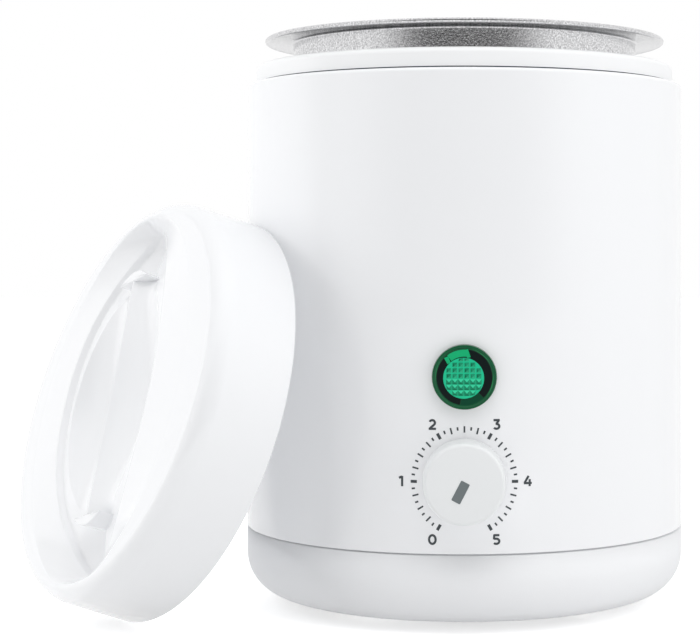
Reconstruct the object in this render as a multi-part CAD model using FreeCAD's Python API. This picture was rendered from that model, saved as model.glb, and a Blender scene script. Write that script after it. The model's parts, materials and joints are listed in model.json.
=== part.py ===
import FreeCAD
import Part

import math
import os

# Candle wax melter: a round bench-top melting pot with a thermostat dial.
# Millimetres, +Z up, front towards -Y. The origin is on the table, on the axis of the round body.

Vector = FreeCAD.Vector
UP = Vector(0, 0, 1)

# ---------------------------------------------------------------- driving dimensions

# Clearances
slip_fit = 0.15            # between nested pieces that stay put
thread_fit = 0.05          # between a screw and its pilot hole
turn_fit = 0.06            # radial, between the spindle and what it turns in
hole_fit = 0.2             # around a screw or stem that passes through
rest_gap = 0.3             # between the leaning lid and what it leans on
head_gap = 0.5             # around a screw's head or the end of a boss
past = 1.0                 # how far a cutter runs past the face that it opens

# Outer shell
jacket = 11.8              # from the pot's wall out to the face of the shell
shell_wall = 2.0
shell_height = 112.3
shell_edge = 1.0
seam = 0.4                 # shadow gap between pan and shell
ledge_thickness = 2.5
ledge_width = 5.2

# Base pan
foot_height = 2.2
foot_radius = 6.0
foot_circle = 30.0
foot_stem_radius = 2.0
foot_barb_radius = 2.8
foot_barb_height = 1.5
pan_height = 17.0
pan_wall = 2.6
pan_floor = 2.2
pan_rounding = 10.5
pan_inner_rounding = 7.9
screw_recess = 3.0         # depth of the base screws' recesses
spigot_wall = 1.8
spigot_rise = 3.5
spigot_root = 5.0
pillar_radius = 4.5
pillar_inset = 14.0        # of the screw pillars' axes from the shell's inner face
pillar_cap = 4.0           # of solid above the screw hole
pillar_web = 3.0
standoff_radius = 3.5
standoff_height = 3.0

# Top collar
collar_gap = 0.3           # shadow gap inside the top of the shell
collar_rise = 5.0
collar_plate = 2.5
collar_skirt = 2.2
collar_edge = 1.5
collar_neck = 6.9          # from the top of the collar down to the well's flange
collar_neck_wall = 1.5
collar_bore_gap = 1.1      # around the pot
collar_boss_radius = 3.0
collar_boss_height = 6.0
collar_boss_inset = 3.5    # from the shell's inner face
well_boss_radius = 2.5
well_boss_offset = 2.6     # from the well's outer face

# Melting pot
pot_radius = 44.2
pot_wall = 1.2
pot_height = 55.8
pot_corner = 5.0
pot_rise = 5.9             # gap from the collar to the pot's flange
pot_seat = 0.2
pot_flange_width = 7.3
pot_flange_thickness = 1.0
pot_bead_radius = 0.6

# Heating well
well_gap = 0.6             # around the pot
well_wall = 1.0
well_floor = 1.2
well_corner = 4.4
well_inner_corner = 3.4
well_flange_gap = 0.9       # inside the collar's skirt
well_flange_thickness = 1.0
stud_radius = 2.0
stud_length = 11.0
stud_nut_flats = 7.0
stud_nut_thickness = 3.0

# Heater band and insulation
band_gap = 0.1
band_thickness = 2.2
band_width = 22.0
band_rise = 8.2            # from the underside of the well
band_split = 6.0
ear_thickness = 1.5
ear_reach = 4.6
ear_width = 14.0
tab_width = 5.0
tab_thickness = 0.8
tab_length = 16.0
tab_lap = 4.0              # of a heater tab on the band
tab_spread = 9.0
sleeve_gap = 0.2
sleeve_wall_gap = 0.4      # to the shell
sleeve_lap = 5.0           # below the band
sleeve_slot = 28.0

# Temperature bulb, fuse and their clamp
bulb_radius = 2.4
bulb_length = 44.0
bulb_offset = 12.0
fuse_length = 12.0
clamp_length = 32.0
clamp_width = 10.0
clamp_thickness = 1.0
tag_radius = 4.5
tag_length = 13.0
tag_thickness = 0.8
capillary_radius = 0.7
capillary_bend = 5.0

# Thermostat and knob
knob_z = 36.8
knob_radius = 9.3
knob_draft = 0.3
knob_height = 9.2
knob_gap = 0.6
knob_edge = 1.0
knob_wall = 1.8
knob_recess = 6.4
knob_hub_radius = 5.4
knob_hub_inset = 0.5       # how far the hub stops short of the knob's back
pointer_length = 5.0
pointer_width = 2.2
pointer_depth = 0.6
pointer_inset = 0.85       # how far the pointer starts behind the middle of the face
pointer_rest = 27.5        # degrees left of straight down, at the lowest mark
spindle_radius = 3.0
spindle_flat = 1.0
spindle_root = 4.0
spindle_flat_length = 7.4
spindle_window = 1.0       # around the thermostat's bushing in the shell
spindle_end_gap = 0.3
leaf_thickness = 0.4
leaf_width = 3.6
thermostat_width = 32.0
thermostat_depth = 21.0
thermostat_height = 28.0
bushing_radius = 4.8
bushing_length = 7.0
nut_flats = 13.0
nut_thickness = 2.4
thermostat_setback = 14.0  # of its seat on the bracket from the face of the shell
bracket_thickness = 1.5
bracket_width = 38.0
bracket_top = 52.8
bracket_foot = 16.0
bracket_hole_setback = 9.0
bracket_hole_spread = 12.0
thermostat_tab_spread = 10.0
thermostat_tab_drop = 6.8
thermostat_tab_length = 7.0

# Indicator lamp
lamp_z = 60.5
lens_radius = 7.55
lens_thickness = 1.8
lens_draft = 0.5
lens_gap = 0.1
lens_stem_radius = 5.8
lens_stem_length = 4.0
lens_wall = 1.2
lamp_radius = 5.6
lamp_wall = 1.0
lamp_length = 17.0
neon_radius = 2.8
neon_length = 12.0
lamp_tab_spread = 3.0
lamp_tab_length = 7.0
lamp_tab_width = 2.8
lamp_tab_thickness = 0.8
clip_radius = 8.0
clip_thickness = 1.0

# Mains side
block_length = 36.0
block_depth = 16.0
block_height = 12.0
block_setback = 34.0       # from the back of the shell
pole_pitch = 11.0
pole_radius = 2.2
pole_head = 1.6
pole_shank_radius = 1.7
pole_shank = 0.6
pole_well = 3.0
block_screw_spread = 5.5
inlet_z = 31.0
inlet_bore_radius = 3.7
inlet_neck_radius = 6.0
inlet_flange_radius = 8.2
inlet_flange = 1.6
inlet_groove = 2.4
inlet_barb = 1.0

# Leads
lead_radius = 0.9
lead_bend = 4.0
lead_height = 5.6          # of the block's wire entries above its underside
lead_pair = 3.0            # between two leads that share a pole

# Screws: shank radius, head radius, head height
screw_large = (1.5, 3.1, 2.2)
screw_small = (1.25, 2.4, 1.6)
screw_band = (1.0, 1.9, 1.2)
band_nut_flats = 4.0
band_nut_thickness = 1.6
base_screw_bite = 9.0
small_screw_bite = 3.6
collar_screw_bite = 4.6
well_screw_bite = 3.4
slot_width = 0.7
slot_depth = 0.8

# Lid
lid_inset = 0.8            # of the lid's rim from the edge of the pot's flange
lid_wall = 2.2
lid_draft = 1.0
lid_edge_z = 20.6          # where the edge rounding meets the top
lid_edge = 4.2
lid_crown = 1.8            # rise of the top from its edge to its middle
lens_half_length = 49.0    # of the band that slopes from the two crescents into the eye
lens_half_width = 38.0
band_crest = 22.0          # level of the band's inner edge at the middle
band_radius = 140.0        # along the lid, by which that edge falls away to both ends
band_end = 15.6
band_tip = 1.5             # past the eye's points
eye_half_length = 44.5
eye_half_width = 23.7
eye_floor_top = 20.6
eye_floor_radius = 150.0
grip_half_width = 6.8
grip_half_length = 32.2
grip_top = 20.4
grip_end_bulge = 2.4
scoop_radius = 12.0
scoop_offset = 10.5        # of the scoop's deepest section from the grip's ridge
scoop_z = 26.3
scoop_sweep = 49.0         # radius of the arc along which the scoop is cut
scoop_lean = 44.0          # degrees, of that arc's plane from upright
scoop_half_length = 29.8
lid_lean = 18.6            # degrees, tilt of the lid's rim from upright
lid_heading = 32.8         # degrees from -X to -Y, the way the lid's top faces
lid_bearing = 20.4         # degrees from -X to -Y, where the lid stands beside the body
lid_turn = 15.3            # degrees, of the grip in the lid's plane

# ---------------------------------------------------------------- places worked out from them

shell_radius = pot_radius + jacket
pan_base = foot_height
pan_inside = pan_base + pan_floor
pan_top = pan_base + pan_height
shell_base = pan_top + seam
shell_top = shell_base + shell_height
shell_inner = shell_radius - shell_wall
ledge_inner = shell_inner - ledge_width
pillar_circle = shell_inner - pillar_inset
spigot_top = pan_top + spigot_rise
standoff_top = pan_inside + standoff_height
pillar_top = pan_top + base_screw_bite + pillar_cap

collar_top = shell_top + collar_rise
collar_radius = shell_inner - collar_gap
collar_bore = pot_radius + collar_bore_gap
flange_seat = collar_top - collar_neck
ledge_top = flange_seat - well_flange_thickness - collar_boss_height - head_gap
skirt_inner = collar_radius - collar_skirt
collar_boss_circle = shell_inner - collar_boss_inset

pot_flange_radius = pot_radius + pot_flange_width
pot_flange_base = collar_top + pot_rise
pot_top = pot_flange_base + pot_flange_thickness
pot_base = pot_top - pot_height
well_inner = pot_radius + well_gap
well_outer = well_inner + well_wall
well_boss_circle = well_outer + well_boss_offset
well_flange_radius = skirt_inner - well_flange_gap
well_inside = pot_base - pot_seat
well_under = well_inside - well_floor

band_inner = well_outer + band_gap
band_outer = band_inner + band_thickness
band_base = well_under + band_rise
band_middle = band_base + band_width / 2.0
ear_y = band_outer + ear_reach / 2.0
tab_y = math.sqrt(band_outer ** 2 - (tab_spread - tab_width / 2.0) ** 2)
tab_bottom = band_base + tab_lap - tab_length
sleeve_inner = band_outer + sleeve_gap
sleeve_outer = shell_inner - sleeve_wall_gap
sleeve_base = band_base - sleeve_lap
sleeve_top = ledge_top - ledge_thickness - screw_small[2] - head_gap

bulb_z = well_under - bulb_radius
clamp_top = bulb_z - bulb_radius
tag_top = clamp_top - clamp_thickness
stud_nut_top = tag_top - tag_thickness

front_face = -shell_radius
plate_y = front_face + thermostat_setback
bracket_hole_y = plate_y + bracket_hole_setback
knob_back = front_face - knob_gap
knob_front = knob_back - knob_height
spindle_tip = knob_back - knob_recess
thermostat_back = plate_y + thermostat_depth
thermostat_top = knob_z + thermostat_height / 2.0
thermostat_tab_z = knob_z - thermostat_tab_drop
lens_back = front_face - lens_gap
lamp_front = lens_back + lens_stem_length
lamp_back = lamp_front + lamp_length
clip_front = -math.sqrt(shell_inner ** 2 - clip_radius ** 2) + slip_fit
block_top = standoff_top + block_height
block_y = shell_radius - block_setback
block_front = block_y - block_depth / 2.0
pole_seat = block_top - pole_well
lead_z = standoff_top + lead_height
lid_radius = pot_flange_radius - lid_inset


# ---------------------------------------------------------------- shaping helpers

def at_angle(radius, degrees, z=0.0):
    """Point at a radius and compass angle about the body's axis."""
    turn = math.radians(degrees)
    return Vector(radius * math.cos(turn), radius * math.sin(turn), z)


def rounded_wire(corners, place):
    """Closed wire through (a, b, rounding) corners, with a tangent arc at each rounding above 0."""
    count = len(corners)
    arcs = []
    for index, (a, b, rounding) in enumerate(corners):
        here = place(a, b)
        if rounding <= 0:
            arcs.append((here, None, here))
            continue
        before = place(*corners[index - 1][:2])
        after = place(*corners[(index + 1) % count][:2])
        to_before = (before - here).normalize()
        to_after = (after - here).normalize()
        half = to_before.getAngle(to_after) / 2.0
        reach = rounding / math.tan(half)
        middle = (to_before + to_after).normalize()
        crown = here + middle * (rounding / math.sin(half) - rounding)
        arcs.append((here + to_before * reach, crown, here + to_after * reach))
    edges = []
    for index, (start, crown, end) in enumerate(arcs):
        if crown is not None:
            edges.append(Part.Arc(start, crown, end).toShape())
        following = arcs[(index + 1) % count][0]
        if (following - end).Length > 1e-6:
            edges.append(Part.LineSegment(end, following).toShape())
    return Part.Wire(edges)


def spin(corners):
    """Solid of revolution about Z from (radius, height, rounding) corners."""
    wire = rounded_wire(corners, lambda a, b: Vector(a, 0, b))
    return solid_of(Part.Face(wire).revolve(Vector(0, 0, 0), UP, 360))


def solid_of(shape):
    """The single clean solid in a shape, turned right side out."""
    found = shape.Solids
    piece = found[0] if len(found) == 1 else shape
    if piece.ShapeType == "Solid" and piece.Volume < 0:
        piece.reverse()
    return piece


def block(x0, x1, y0, y1, z0, z1):
    return Part.makeBox(x1 - x0, y1 - y0, z1 - z0, Vector(x0, y0, z0))


def rod(radius, start, end):
    """Cylinder from one point to another."""
    run = end - start
    return Part.makeCylinder(radius, run.Length, start, run)


def post(radius, x, y, z0, z1):
    return rod(radius, Vector(x, y, z0), Vector(x, y, z1))


def tube(outer, inner, start, end):
    """Straight tube with a clean bore."""
    over = (end - start).normalize() * past
    return rod(outer, start, end).cut(rod(inner, start - over, end + over))


def screw(head_face, direction, length, size):
    """Slotted screw: its head bears on head_face and its shank runs along direction."""
    shank_radius, head_radius, head_height = size
    along = Vector(direction).normalize()
    side = Vector(1, 0, 0) if abs(along.x) < 0.5 else Vector(0, 1, 0)
    head_end = head_face - along * head_height
    shank = rod(shank_radius, head_face, head_face + along * length)
    body = rod(head_radius, head_end, head_face).fuse(shank)
    across = along.cross(side)
    slot = Part.makeBox(2 * (head_radius + past), slot_width, slot_depth + past)
    slot.translate(Vector(-head_radius - past, -slot_width / 2.0, -past))
    slot.transformShape(frame_matrix(side, across, along, head_end))
    return body.cut(slot).removeSplitter()


def frame_matrix(x_axis, y_axis, z_axis, origin):
    """Matrix that carries local axes to the three given ones, at origin."""
    return FreeCAD.Matrix(
        x_axis.x, y_axis.x, z_axis.x, origin.x,
        x_axis.y, y_axis.y, z_axis.y, origin.y,
        x_axis.z, y_axis.z, z_axis.z, origin.z,
        0, 0, 0, 1)


def hex_nut(flats, bore, start, end):
    """Hexagon nut between two points."""
    along = (end - start).normalize()
    side = Vector(1, 0, 0) if abs(along.x) < 0.5 else Vector(0, 1, 0)
    across = along.cross(side)
    reach = flats / math.sqrt(3)
    points = []
    for step in range(7):
        turn = math.radians(60 * step)
        points.append(start + side * (reach * math.cos(turn)) + across * (reach * math.sin(turn)))
    body = Part.Face(Part.makePolygon(points)).extrude(end - start)
    return body.cut(rod(bore, start - along, end + along))


def bent_rod(points, radius, bend):
    """Round rod along straight runs joined by tangent arcs."""
    edges = []
    last = points[0]
    for index in range(1, len(points) - 1):
        here = points[index]
        back = (points[index - 1] - here).normalize()
        ahead = (points[index + 1] - here).normalize()
        half = back.getAngle(ahead) / 2.0
        room = 0.48 * min((points[index - 1] - here).Length, (points[index + 1] - here).Length)
        reach = min(bend / math.tan(half), room)
        turn = reach * math.tan(half)
        middle = (back + ahead).normalize()
        start = here + back * reach
        end = here + ahead * reach
        crown = here + middle * (turn / math.sin(half) - turn)
        edges.append(Part.LineSegment(last, start).toShape())
        edges.append(Part.Arc(start, crown, end).toShape())
        last = end
    edges.append(Part.LineSegment(last, points[-1]).toShape())
    path = Part.Wire(edges)
    ring = Part.Wire(Part.makeCircle(radius, points[0], points[1] - points[0]))
    return solid_of(path.makePipeShell([ring], True, True))


def eye_prism(half_length, half_width, z0, z1):
    """Upright prism with the outline of an eye: two arcs that meet in points on Y."""
    sweep = (half_length ** 2 + half_width ** 2) / (2.0 * half_width)
    shift = sweep - half_width
    left = post(sweep, shift, 0, z0, z1)
    right = post(sweep, -shift, 0, z0, z1)
    return left.common(right)


def around(count, first):
    return [first + 360.0 * step / count for step in range(count)]


base_screw_angles = around(4, 45.0)
foot_angles = around(4, 0.0)
collar_screw_angles = around(3, 90.0)
well_screw_angles = around(3, 30.0)
standoffs = [
    Vector(-bracket_hole_spread, bracket_hole_y, pan_inside),
    Vector(bracket_hole_spread, bracket_hole_y, pan_inside),
    Vector(-block_screw_spread, block_y, pan_inside),
    Vector(block_screw_spread, block_y, pan_inside),
]


# ---------------------------------------------------------------- casing

def make_base_pan():
    inner_wall = shell_radius - pan_wall
    pan = spin([
        (0, pan_base, 0), (shell_radius, pan_base, pan_rounding), (shell_radius, pan_top, 0),
        (inner_wall, pan_top, 0), (inner_wall, pan_inside, pan_inner_rounding), (0, pan_inside, 0)])
    spigot_outer = shell_inner - slip_fit
    spigot = tube(spigot_outer, spigot_outer - spigot_wall,
                  Vector(0, 0, pan_top - spigot_root), Vector(0, 0, spigot_top))
    pieces = [spigot]
    cuts = []
    for angle in base_screw_angles:
        spot = at_angle(pillar_circle, angle)
        pieces.append(post(pillar_radius, spot.x, spot.y, pan_base + pan_floor / 2.0, pan_top))
        cuts.append(post(screw_large[0] + hole_fit, spot.x, spot.y, pan_base - past, pan_top + past))
        cuts.append(post(screw_large[1] + hole_fit, spot.x, spot.y, pan_base - past, pan_base + screw_recess))
    for spot in standoffs:
        pieces.append(post(standoff_radius, spot.x, spot.y, pan_base + pan_floor / 2.0, standoff_top))
        cuts.append(post(screw_small[0] + thread_fit, spot.x, spot.y,
                         standoff_top - small_screw_bite - thread_fit, standoff_top + past))
    for angle in foot_angles:
        spot = at_angle(foot_circle, angle)
        cuts.append(post(foot_stem_radius + thread_fit, spot.x, spot.y, pan_base - past, pan_inside + past))
    return pan.multiFuse(pieces).cut(cuts).removeSplitter()


def make_rubber_feet():
    feet = []
    for angle in foot_angles:
        spot = at_angle(foot_circle, angle)
        foot = spin([
            (0, 0, 0), (foot_radius, 0, 0.6), (foot_radius, pan_base, 0), (foot_stem_radius, pan_base, 0),
            (foot_stem_radius, pan_inside, 0), (foot_barb_radius, pan_inside, 0),
            (foot_stem_radius, pan_inside + foot_barb_height, 0), (0, pan_inside + foot_barb_height, 0)])
        foot.translate(spot)
        feet.append(foot)
    return Part.makeCompound(feet)


def make_base_screws():
    seat = pan_base + screw_recess
    length = pan_top + base_screw_bite - seat
    return Part.makeCompound([screw(at_angle(pillar_circle, angle, seat), UP, length, screw_large)
                              for angle in base_screw_angles])


def make_outer_shell():
    wall = spin([
        (shell_inner, shell_base, 0), (shell_radius, shell_base, 0),
        (shell_radius, shell_top, shell_edge), (shell_inner, shell_top, 0)])
    ledge = tube(shell_inner + shell_wall / 2.0, ledge_inner,
                 Vector(0, 0, ledge_top - ledge_thickness), Vector(0, 0, ledge_top))
    pieces = [ledge]
    cuts = []
    for angle in base_screw_angles:
        spot = at_angle(pillar_circle, angle)
        pieces.append(post(pillar_radius, spot.x, spot.y, pan_top, pillar_top))
        web = block(pillar_circle, shell_inner + shell_wall / 2.0, -pillar_web / 2.0, pillar_web / 2.0,
                    spigot_top + head_gap, pillar_top)
        web.rotate(Vector(0, 0, 0), UP, angle)
        pieces.append(web)
        cuts.append(post(screw_large[0] + thread_fit, spot.x, spot.y, pan_top - past,
                         pan_top + base_screw_bite + head_gap))
    for angle in collar_screw_angles:
        spot = at_angle(collar_boss_circle, angle)
        cuts.append(post(screw_small[0] + hole_fit, spot.x, spot.y,
                         ledge_top - ledge_thickness - past, ledge_top + past))
    for radius, y, z in ((bushing_radius + spindle_window, front_face - past, knob_z),
                         (lens_stem_radius + slip_fit, front_face - past, lamp_z),
                         (inlet_neck_radius + slip_fit, shell_radius + past, inlet_z)):
        cuts.append(rod(radius, Vector(0, 0, z), Vector(0, y, z)))
    return wall.multiFuse(pieces).cut(cuts).removeSplitter()


def make_top_collar():
    under_plate = collar_top - collar_plate
    ring = spin([
        (skirt_inner, ledge_top, 0), (collar_radius, ledge_top, 0),
        (collar_radius, collar_top, collar_edge), (collar_bore, collar_top, collar_edge / 2.0),
        (collar_bore, flange_seat, 0), (collar_bore + collar_neck_wall, flange_seat, 0),
        (collar_bore + collar_neck_wall, under_plate, 0), (skirt_inner, under_plate, 0)])
    pieces = []
    cuts = []
    for angle in collar_screw_angles:
        spot = at_angle(collar_boss_circle, angle)
        pieces.append(post(collar_boss_radius, spot.x, spot.y, ledge_top, ledge_top + collar_boss_height))
        cuts.append(post(screw_small[0] + thread_fit, spot.x, spot.y,
                         ledge_top - past, ledge_top + collar_screw_bite + head_gap))
    for angle in well_screw_angles:
        spot = at_angle(well_boss_circle, angle)
        pieces.append(post(well_boss_radius, spot.x, spot.y, flange_seat, collar_top - collar_plate / 2.0))
        cuts.append(post(screw_small[0] + thread_fit, spot.x, spot.y,
                         flange_seat - past, flange_seat + well_screw_bite + head_gap))
    return ring.multiFuse(pieces).cut(cuts).removeSplitter()


def make_collar_screws():
    seat = ledge_top - ledge_thickness
    length = ledge_thickness + collar_screw_bite
    return Part.makeCompound([screw(at_angle(collar_boss_circle, angle, seat), UP, length, screw_small)
                              for angle in collar_screw_angles])


# ---------------------------------------------------------------- pot, well and heater

def make_heating_well():
    cup = spin([
        (0, well_under, 0), (well_outer, well_under, well_corner),
        (well_outer, flange_seat - well_flange_thickness, 0),
        (well_flange_radius, flange_seat - well_flange_thickness, 0),
        (well_flange_radius, flange_seat, 0), (well_inner, flange_seat, 0),
        (well_inner, well_inside, well_inner_corner), (0, well_inside, 0)])
    stud = post(stud_radius, 0, 0, well_under - stud_length, well_under + well_floor / 2.0)
    holes = []
    for angle in well_screw_angles:
        spot = at_angle(well_boss_circle, angle)
        holes.append(post(screw_small[0] + hole_fit, spot.x, spot.y,
                          flange_seat - well_flange_thickness - past, flange_seat + past))
    return cup.fuse(stud).cut(holes).removeSplitter()


def make_well_screws():
    seat = flange_seat - well_flange_thickness
    length = well_flange_thickness + well_screw_bite
    return Part.makeCompound([screw(at_angle(well_boss_circle, angle, seat), UP, length, screw_small)
                              for angle in well_screw_angles])


def make_wax_pot():
    inner = pot_radius - pot_wall
    bead_z = pot_top - pot_bead_radius
    bead_radius_at = pot_flange_radius - pot_bead_radius
    cup = spin([
        (0, pot_base, 0), (pot_radius, pot_base, pot_corner),
        (pot_radius, pot_flange_base, 0.6), (bead_radius_at, pot_flange_base, 0),
        (bead_radius_at, pot_top, 0), (inner, pot_top, 1.2),
        (inner, pot_base + pot_wall, pot_corner - pot_wall), (0, pot_base + pot_wall, 0)])
    bead = Part.makeTorus(bead_radius_at, pot_bead_radius, Vector(0, 0, bead_z))
    return cup.fuse(bead).removeSplitter()


def make_heater_band():
    band = tube(band_outer, band_inner, Vector(0, 0, band_base), Vector(0, 0, band_base + band_width))
    half_gap = band_split / 2.0
    ear_end = band_outer + ear_reach
    ear_z = band_middle - ear_width / 2.0
    ears = []
    for side in (-1, 1):
        inner_x, outer_x = sorted((side * half_gap, side * (half_gap + ear_thickness)))
        ears.append(block(inner_x, outer_x, band_outer - band_thickness / 2.0, ear_end,
                          ear_z, ear_z + ear_width))
    gap = block(-half_gap, half_gap, 0, ear_end + past, band_base - past, band_base + band_width + past)
    bolt_reach = half_gap + ear_thickness + past
    hole = rod(screw_band[0] + hole_fit, Vector(-bolt_reach, ear_y, band_middle),
               Vector(bolt_reach, ear_y, band_middle))
    return band.multiFuse(ears).cut([gap, hole]).removeSplitter()


def make_band_bolt():
    reach = band_split / 2.0 + ear_thickness
    return screw(Vector(-reach, ear_y, band_middle), Vector(1, 0, 0),
                 2 * reach + band_nut_thickness + screw_band[0], screw_band)


def make_band_nut():
    reach = band_split / 2.0 + ear_thickness
    return hex_nut(band_nut_flats, screw_band[0] + thread_fit, Vector(reach, ear_y, band_middle),
                   Vector(reach + band_nut_thickness, ear_y, band_middle))


def make_heater_tabs():
    tabs = []
    for side in (-1, 1):
        x = side * tab_spread
        tabs.append(block(x - tab_width / 2.0, x + tab_width / 2.0, tab_y, tab_y + tab_thickness,
                          tab_bottom, tab_bottom + tab_length))
    return Part.makeCompound(tabs)


def make_insulation_sleeve():
    sleeve = tube(sleeve_outer, sleeve_inner,
                  Vector(0, 0, sleeve_base), Vector(0, 0, sleeve_top))
    slot = block(-sleeve_slot / 2.0, sleeve_slot / 2.0, 0, shell_radius,
                 sleeve_base - past, sleeve_top + past)
    return solid_of(sleeve.cut(slot))


def make_sensor_bulb():
    half = bulb_length / 2.0
    return rod(bulb_radius, Vector(bulb_offset, -half, bulb_z), Vector(bulb_offset, half, bulb_z))


def make_thermal_fuse():
    half = fuse_length / 2.0
    return rod(bulb_radius, Vector(-bulb_offset, -half, bulb_z), Vector(-bulb_offset, half, bulb_z))


def make_clamp_plate():
    half = clamp_length / 2.0
    plate = block(-half, half, -clamp_width / 2.0, clamp_width / 2.0, clamp_top - clamp_thickness, clamp_top)
    return plate.cut(post(stud_radius + hole_fit, 0, 0, clamp_top - clamp_thickness - past, clamp_top + past))


def make_earth_tag():
    ring = post(tag_radius, 0, 0, tag_top - tag_thickness, tag_top)
    tail = block(-tag_radius / 2.0, tag_radius / 2.0, 0, tag_length, tag_top - tag_thickness, tag_top)
    hole = post(stud_radius + hole_fit, 0, 0, tag_top - tag_thickness - past, tag_top + past)
    return ring.fuse(tail).cut(hole).removeSplitter()


def make_stud_nut():
    return hex_nut(stud_nut_flats, stud_radius + thread_fit, Vector(0, 0, stud_nut_top - stud_nut_thickness),
                   Vector(0, 0, stud_nut_top))


# ---------------------------------------------------------------- thermostat and knob

def make_thermostat_bracket():
    half = bracket_width / 2.0
    plate = block(-half, half, plate_y - bracket_thickness, plate_y, standoff_top, bracket_top)
    foot = block(-half, half, plate_y - bracket_thickness, plate_y + bracket_foot,
                 standoff_top, standoff_top + bracket_thickness)
    cuts = [rod(bushing_radius + hole_fit, Vector(0, plate_y + past, knob_z),
                Vector(0, plate_y - bracket_thickness - past, knob_z))]
    for spot in standoffs[:2]:
        cuts.append(post(screw_small[0] + hole_fit, spot.x, spot.y,
                         standoff_top - past, standoff_top + bracket_thickness + past))
    return plate.fuse(foot).cut(cuts).removeSplitter()


def make_bracket_screws():
    seat = standoff_top + bracket_thickness
    down = Vector(0, 0, -1)
    return Part.makeCompound([screw(Vector(spot.x, spot.y, seat), down,
                                    bracket_thickness + small_screw_bite, screw_small)
                              for spot in standoffs[:2]])


def make_thermostat_body():
    half = thermostat_width / 2.0
    case = block(-half, half, plate_y, thermostat_back,
                 knob_z - thermostat_height / 2.0, thermostat_top)
    case = case.makeFillet(1.5, [edge for edge in case.Edges
                                 if abs(edge.Vertexes[0].Y - edge.Vertexes[1].Y) > 1])
    bore = rod(spindle_radius + turn_fit, Vector(0, plate_y - past, knob_z),
               Vector(0, plate_y + spindle_root + spindle_end_gap, knob_z))
    return case.cut(bore)


def make_thermostat_bushing():
    return tube(bushing_radius, spindle_radius + turn_fit, Vector(0, plate_y, knob_z),
                Vector(0, plate_y - bushing_length, knob_z))


def make_thermostat_nut():
    seat = plate_y - bracket_thickness
    return hex_nut(nut_flats, bushing_radius + thread_fit, Vector(0, seat, knob_z),
                   Vector(0, seat - nut_thickness, knob_z))


def make_thermostat_tabs():
    tabs = []
    for side in (-1, 1):
        x = side * thermostat_tab_spread
        tabs.append(block(x - tab_width / 2.0, x + tab_width / 2.0,
                          thermostat_back, thermostat_back + thermostat_tab_length,
                          thermostat_tab_z - tab_thickness / 2.0, thermostat_tab_z + tab_thickness / 2.0))
    return Part.makeCompound(tabs)


def spindle_flat_box(clearance, y0, y1):
    """What the flat takes off the top of the spindle, between two places along it."""
    low = knob_z + spindle_radius - spindle_flat + clearance
    return block(-knob_radius, knob_radius, y0, y1, low, low + knob_radius)


def make_thermostat_spindle():
    shaft = rod(spindle_radius, Vector(0, plate_y + spindle_root, knob_z), Vector(0, spindle_tip, knob_z))
    flat = spindle_flat_box(0.0, spindle_tip - past, spindle_tip + spindle_flat_length)
    return turned_to_rest(shaft.cut(flat))


def turned_to_rest(shape):
    """Turn a knob piece, drawn with its pointer down, to the lowest mark."""
    shape.rotate(Vector(0, 0, knob_z), Vector(0, 1, 0), pointer_rest)
    return shape


def along_spindle(shape):
    """Lay a shape spun about Z down along -Y, with its base on the knob's back plane."""
    shape.rotate(Vector(0, 0, 0), Vector(1, 0, 0), 90)
    shape.translate(Vector(0, knob_back, knob_z))
    return shape


def make_control_knob():
    skirt = knob_radius + knob_draft
    cap = along_spindle(spin([
        (knob_radius - knob_wall, 0, 0), (skirt, 0, 0), (knob_radius, knob_height, knob_edge),
        (0, knob_height, 0), (0, knob_recess, 0), (knob_radius - knob_wall, knob_recess, 0)]))
    hub = along_spindle(spin([
        (0, knob_hub_inset, 0), (knob_hub_radius, knob_hub_inset, 0),
        (knob_hub_radius, knob_recess + past, 0), (0, knob_recess + past, 0)]))
    bore = rod(spindle_radius + thread_fit, Vector(0, knob_back + past, knob_z),
               Vector(0, spindle_tip - thread_fit, knob_z))
    kept = spindle_flat_box(leaf_thickness + 2 * thread_fit, spindle_tip - past, knob_back + 2 * past)
    pocket = block(-pointer_width / 2.0, pointer_width / 2.0, knob_front - past, knob_front + pointer_depth,
                   knob_z + pointer_inset - pointer_length, knob_z + pointer_inset)
    return turned_to_rest(cap.fuse(hub).cut([bore.cut(kept), pocket]).removeSplitter())


def make_knob_pointer():
    half = pointer_width / 2.0 - thread_fit
    high = knob_z + pointer_inset - thread_fit
    low = knob_z + pointer_inset - pointer_length + thread_fit
    return turned_to_rest(block(-half, half, knob_front, knob_front + pointer_depth, low, high))


def make_knob_spring():
    low = knob_z + spindle_radius - spindle_flat + thread_fit
    return turned_to_rest(block(-leaf_width / 2.0, leaf_width / 2.0, spindle_tip + 0.4, knob_back - 0.6,
                                low, low + leaf_thickness))


# ---------------------------------------------------------------- lamp

def make_lamp_lens():
    flange = Part.makeCone(lens_radius, lens_radius - lens_draft, lens_thickness,
                           Vector(0, lens_back, lamp_z), Vector(0, -1, 0))
    stem = rod(lens_stem_radius, Vector(0, lens_back, lamp_z), Vector(0, lamp_front, lamp_z))
    hollow = rod(lens_stem_radius - lens_wall, Vector(0, lens_back, lamp_z),
                 Vector(0, lamp_front + past, lamp_z))
    return flange.fuse(stem).cut(hollow).removeSplitter()


def make_lamp_body():
    case = rod(lamp_radius, Vector(0, lamp_front, lamp_z), Vector(0, lamp_back, lamp_z))
    hollow = rod(lamp_radius - lamp_wall, Vector(0, lamp_front - past, lamp_z),
                 Vector(0, lamp_back - lamp_wall, lamp_z))
    return case.cut(hollow)


def make_neon_bulb():
    back = lamp_back - lamp_wall
    rounding = neon_radius * 0.6
    bulb = spin([(0, 0, 0), (neon_radius, 0, 0), (neon_radius, neon_length, rounding), (0, neon_length, 0)])
    bulb.rotate(Vector(0, 0, 0), Vector(1, 0, 0), 90)
    bulb.translate(Vector(0, back, lamp_z))
    return bulb


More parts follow.
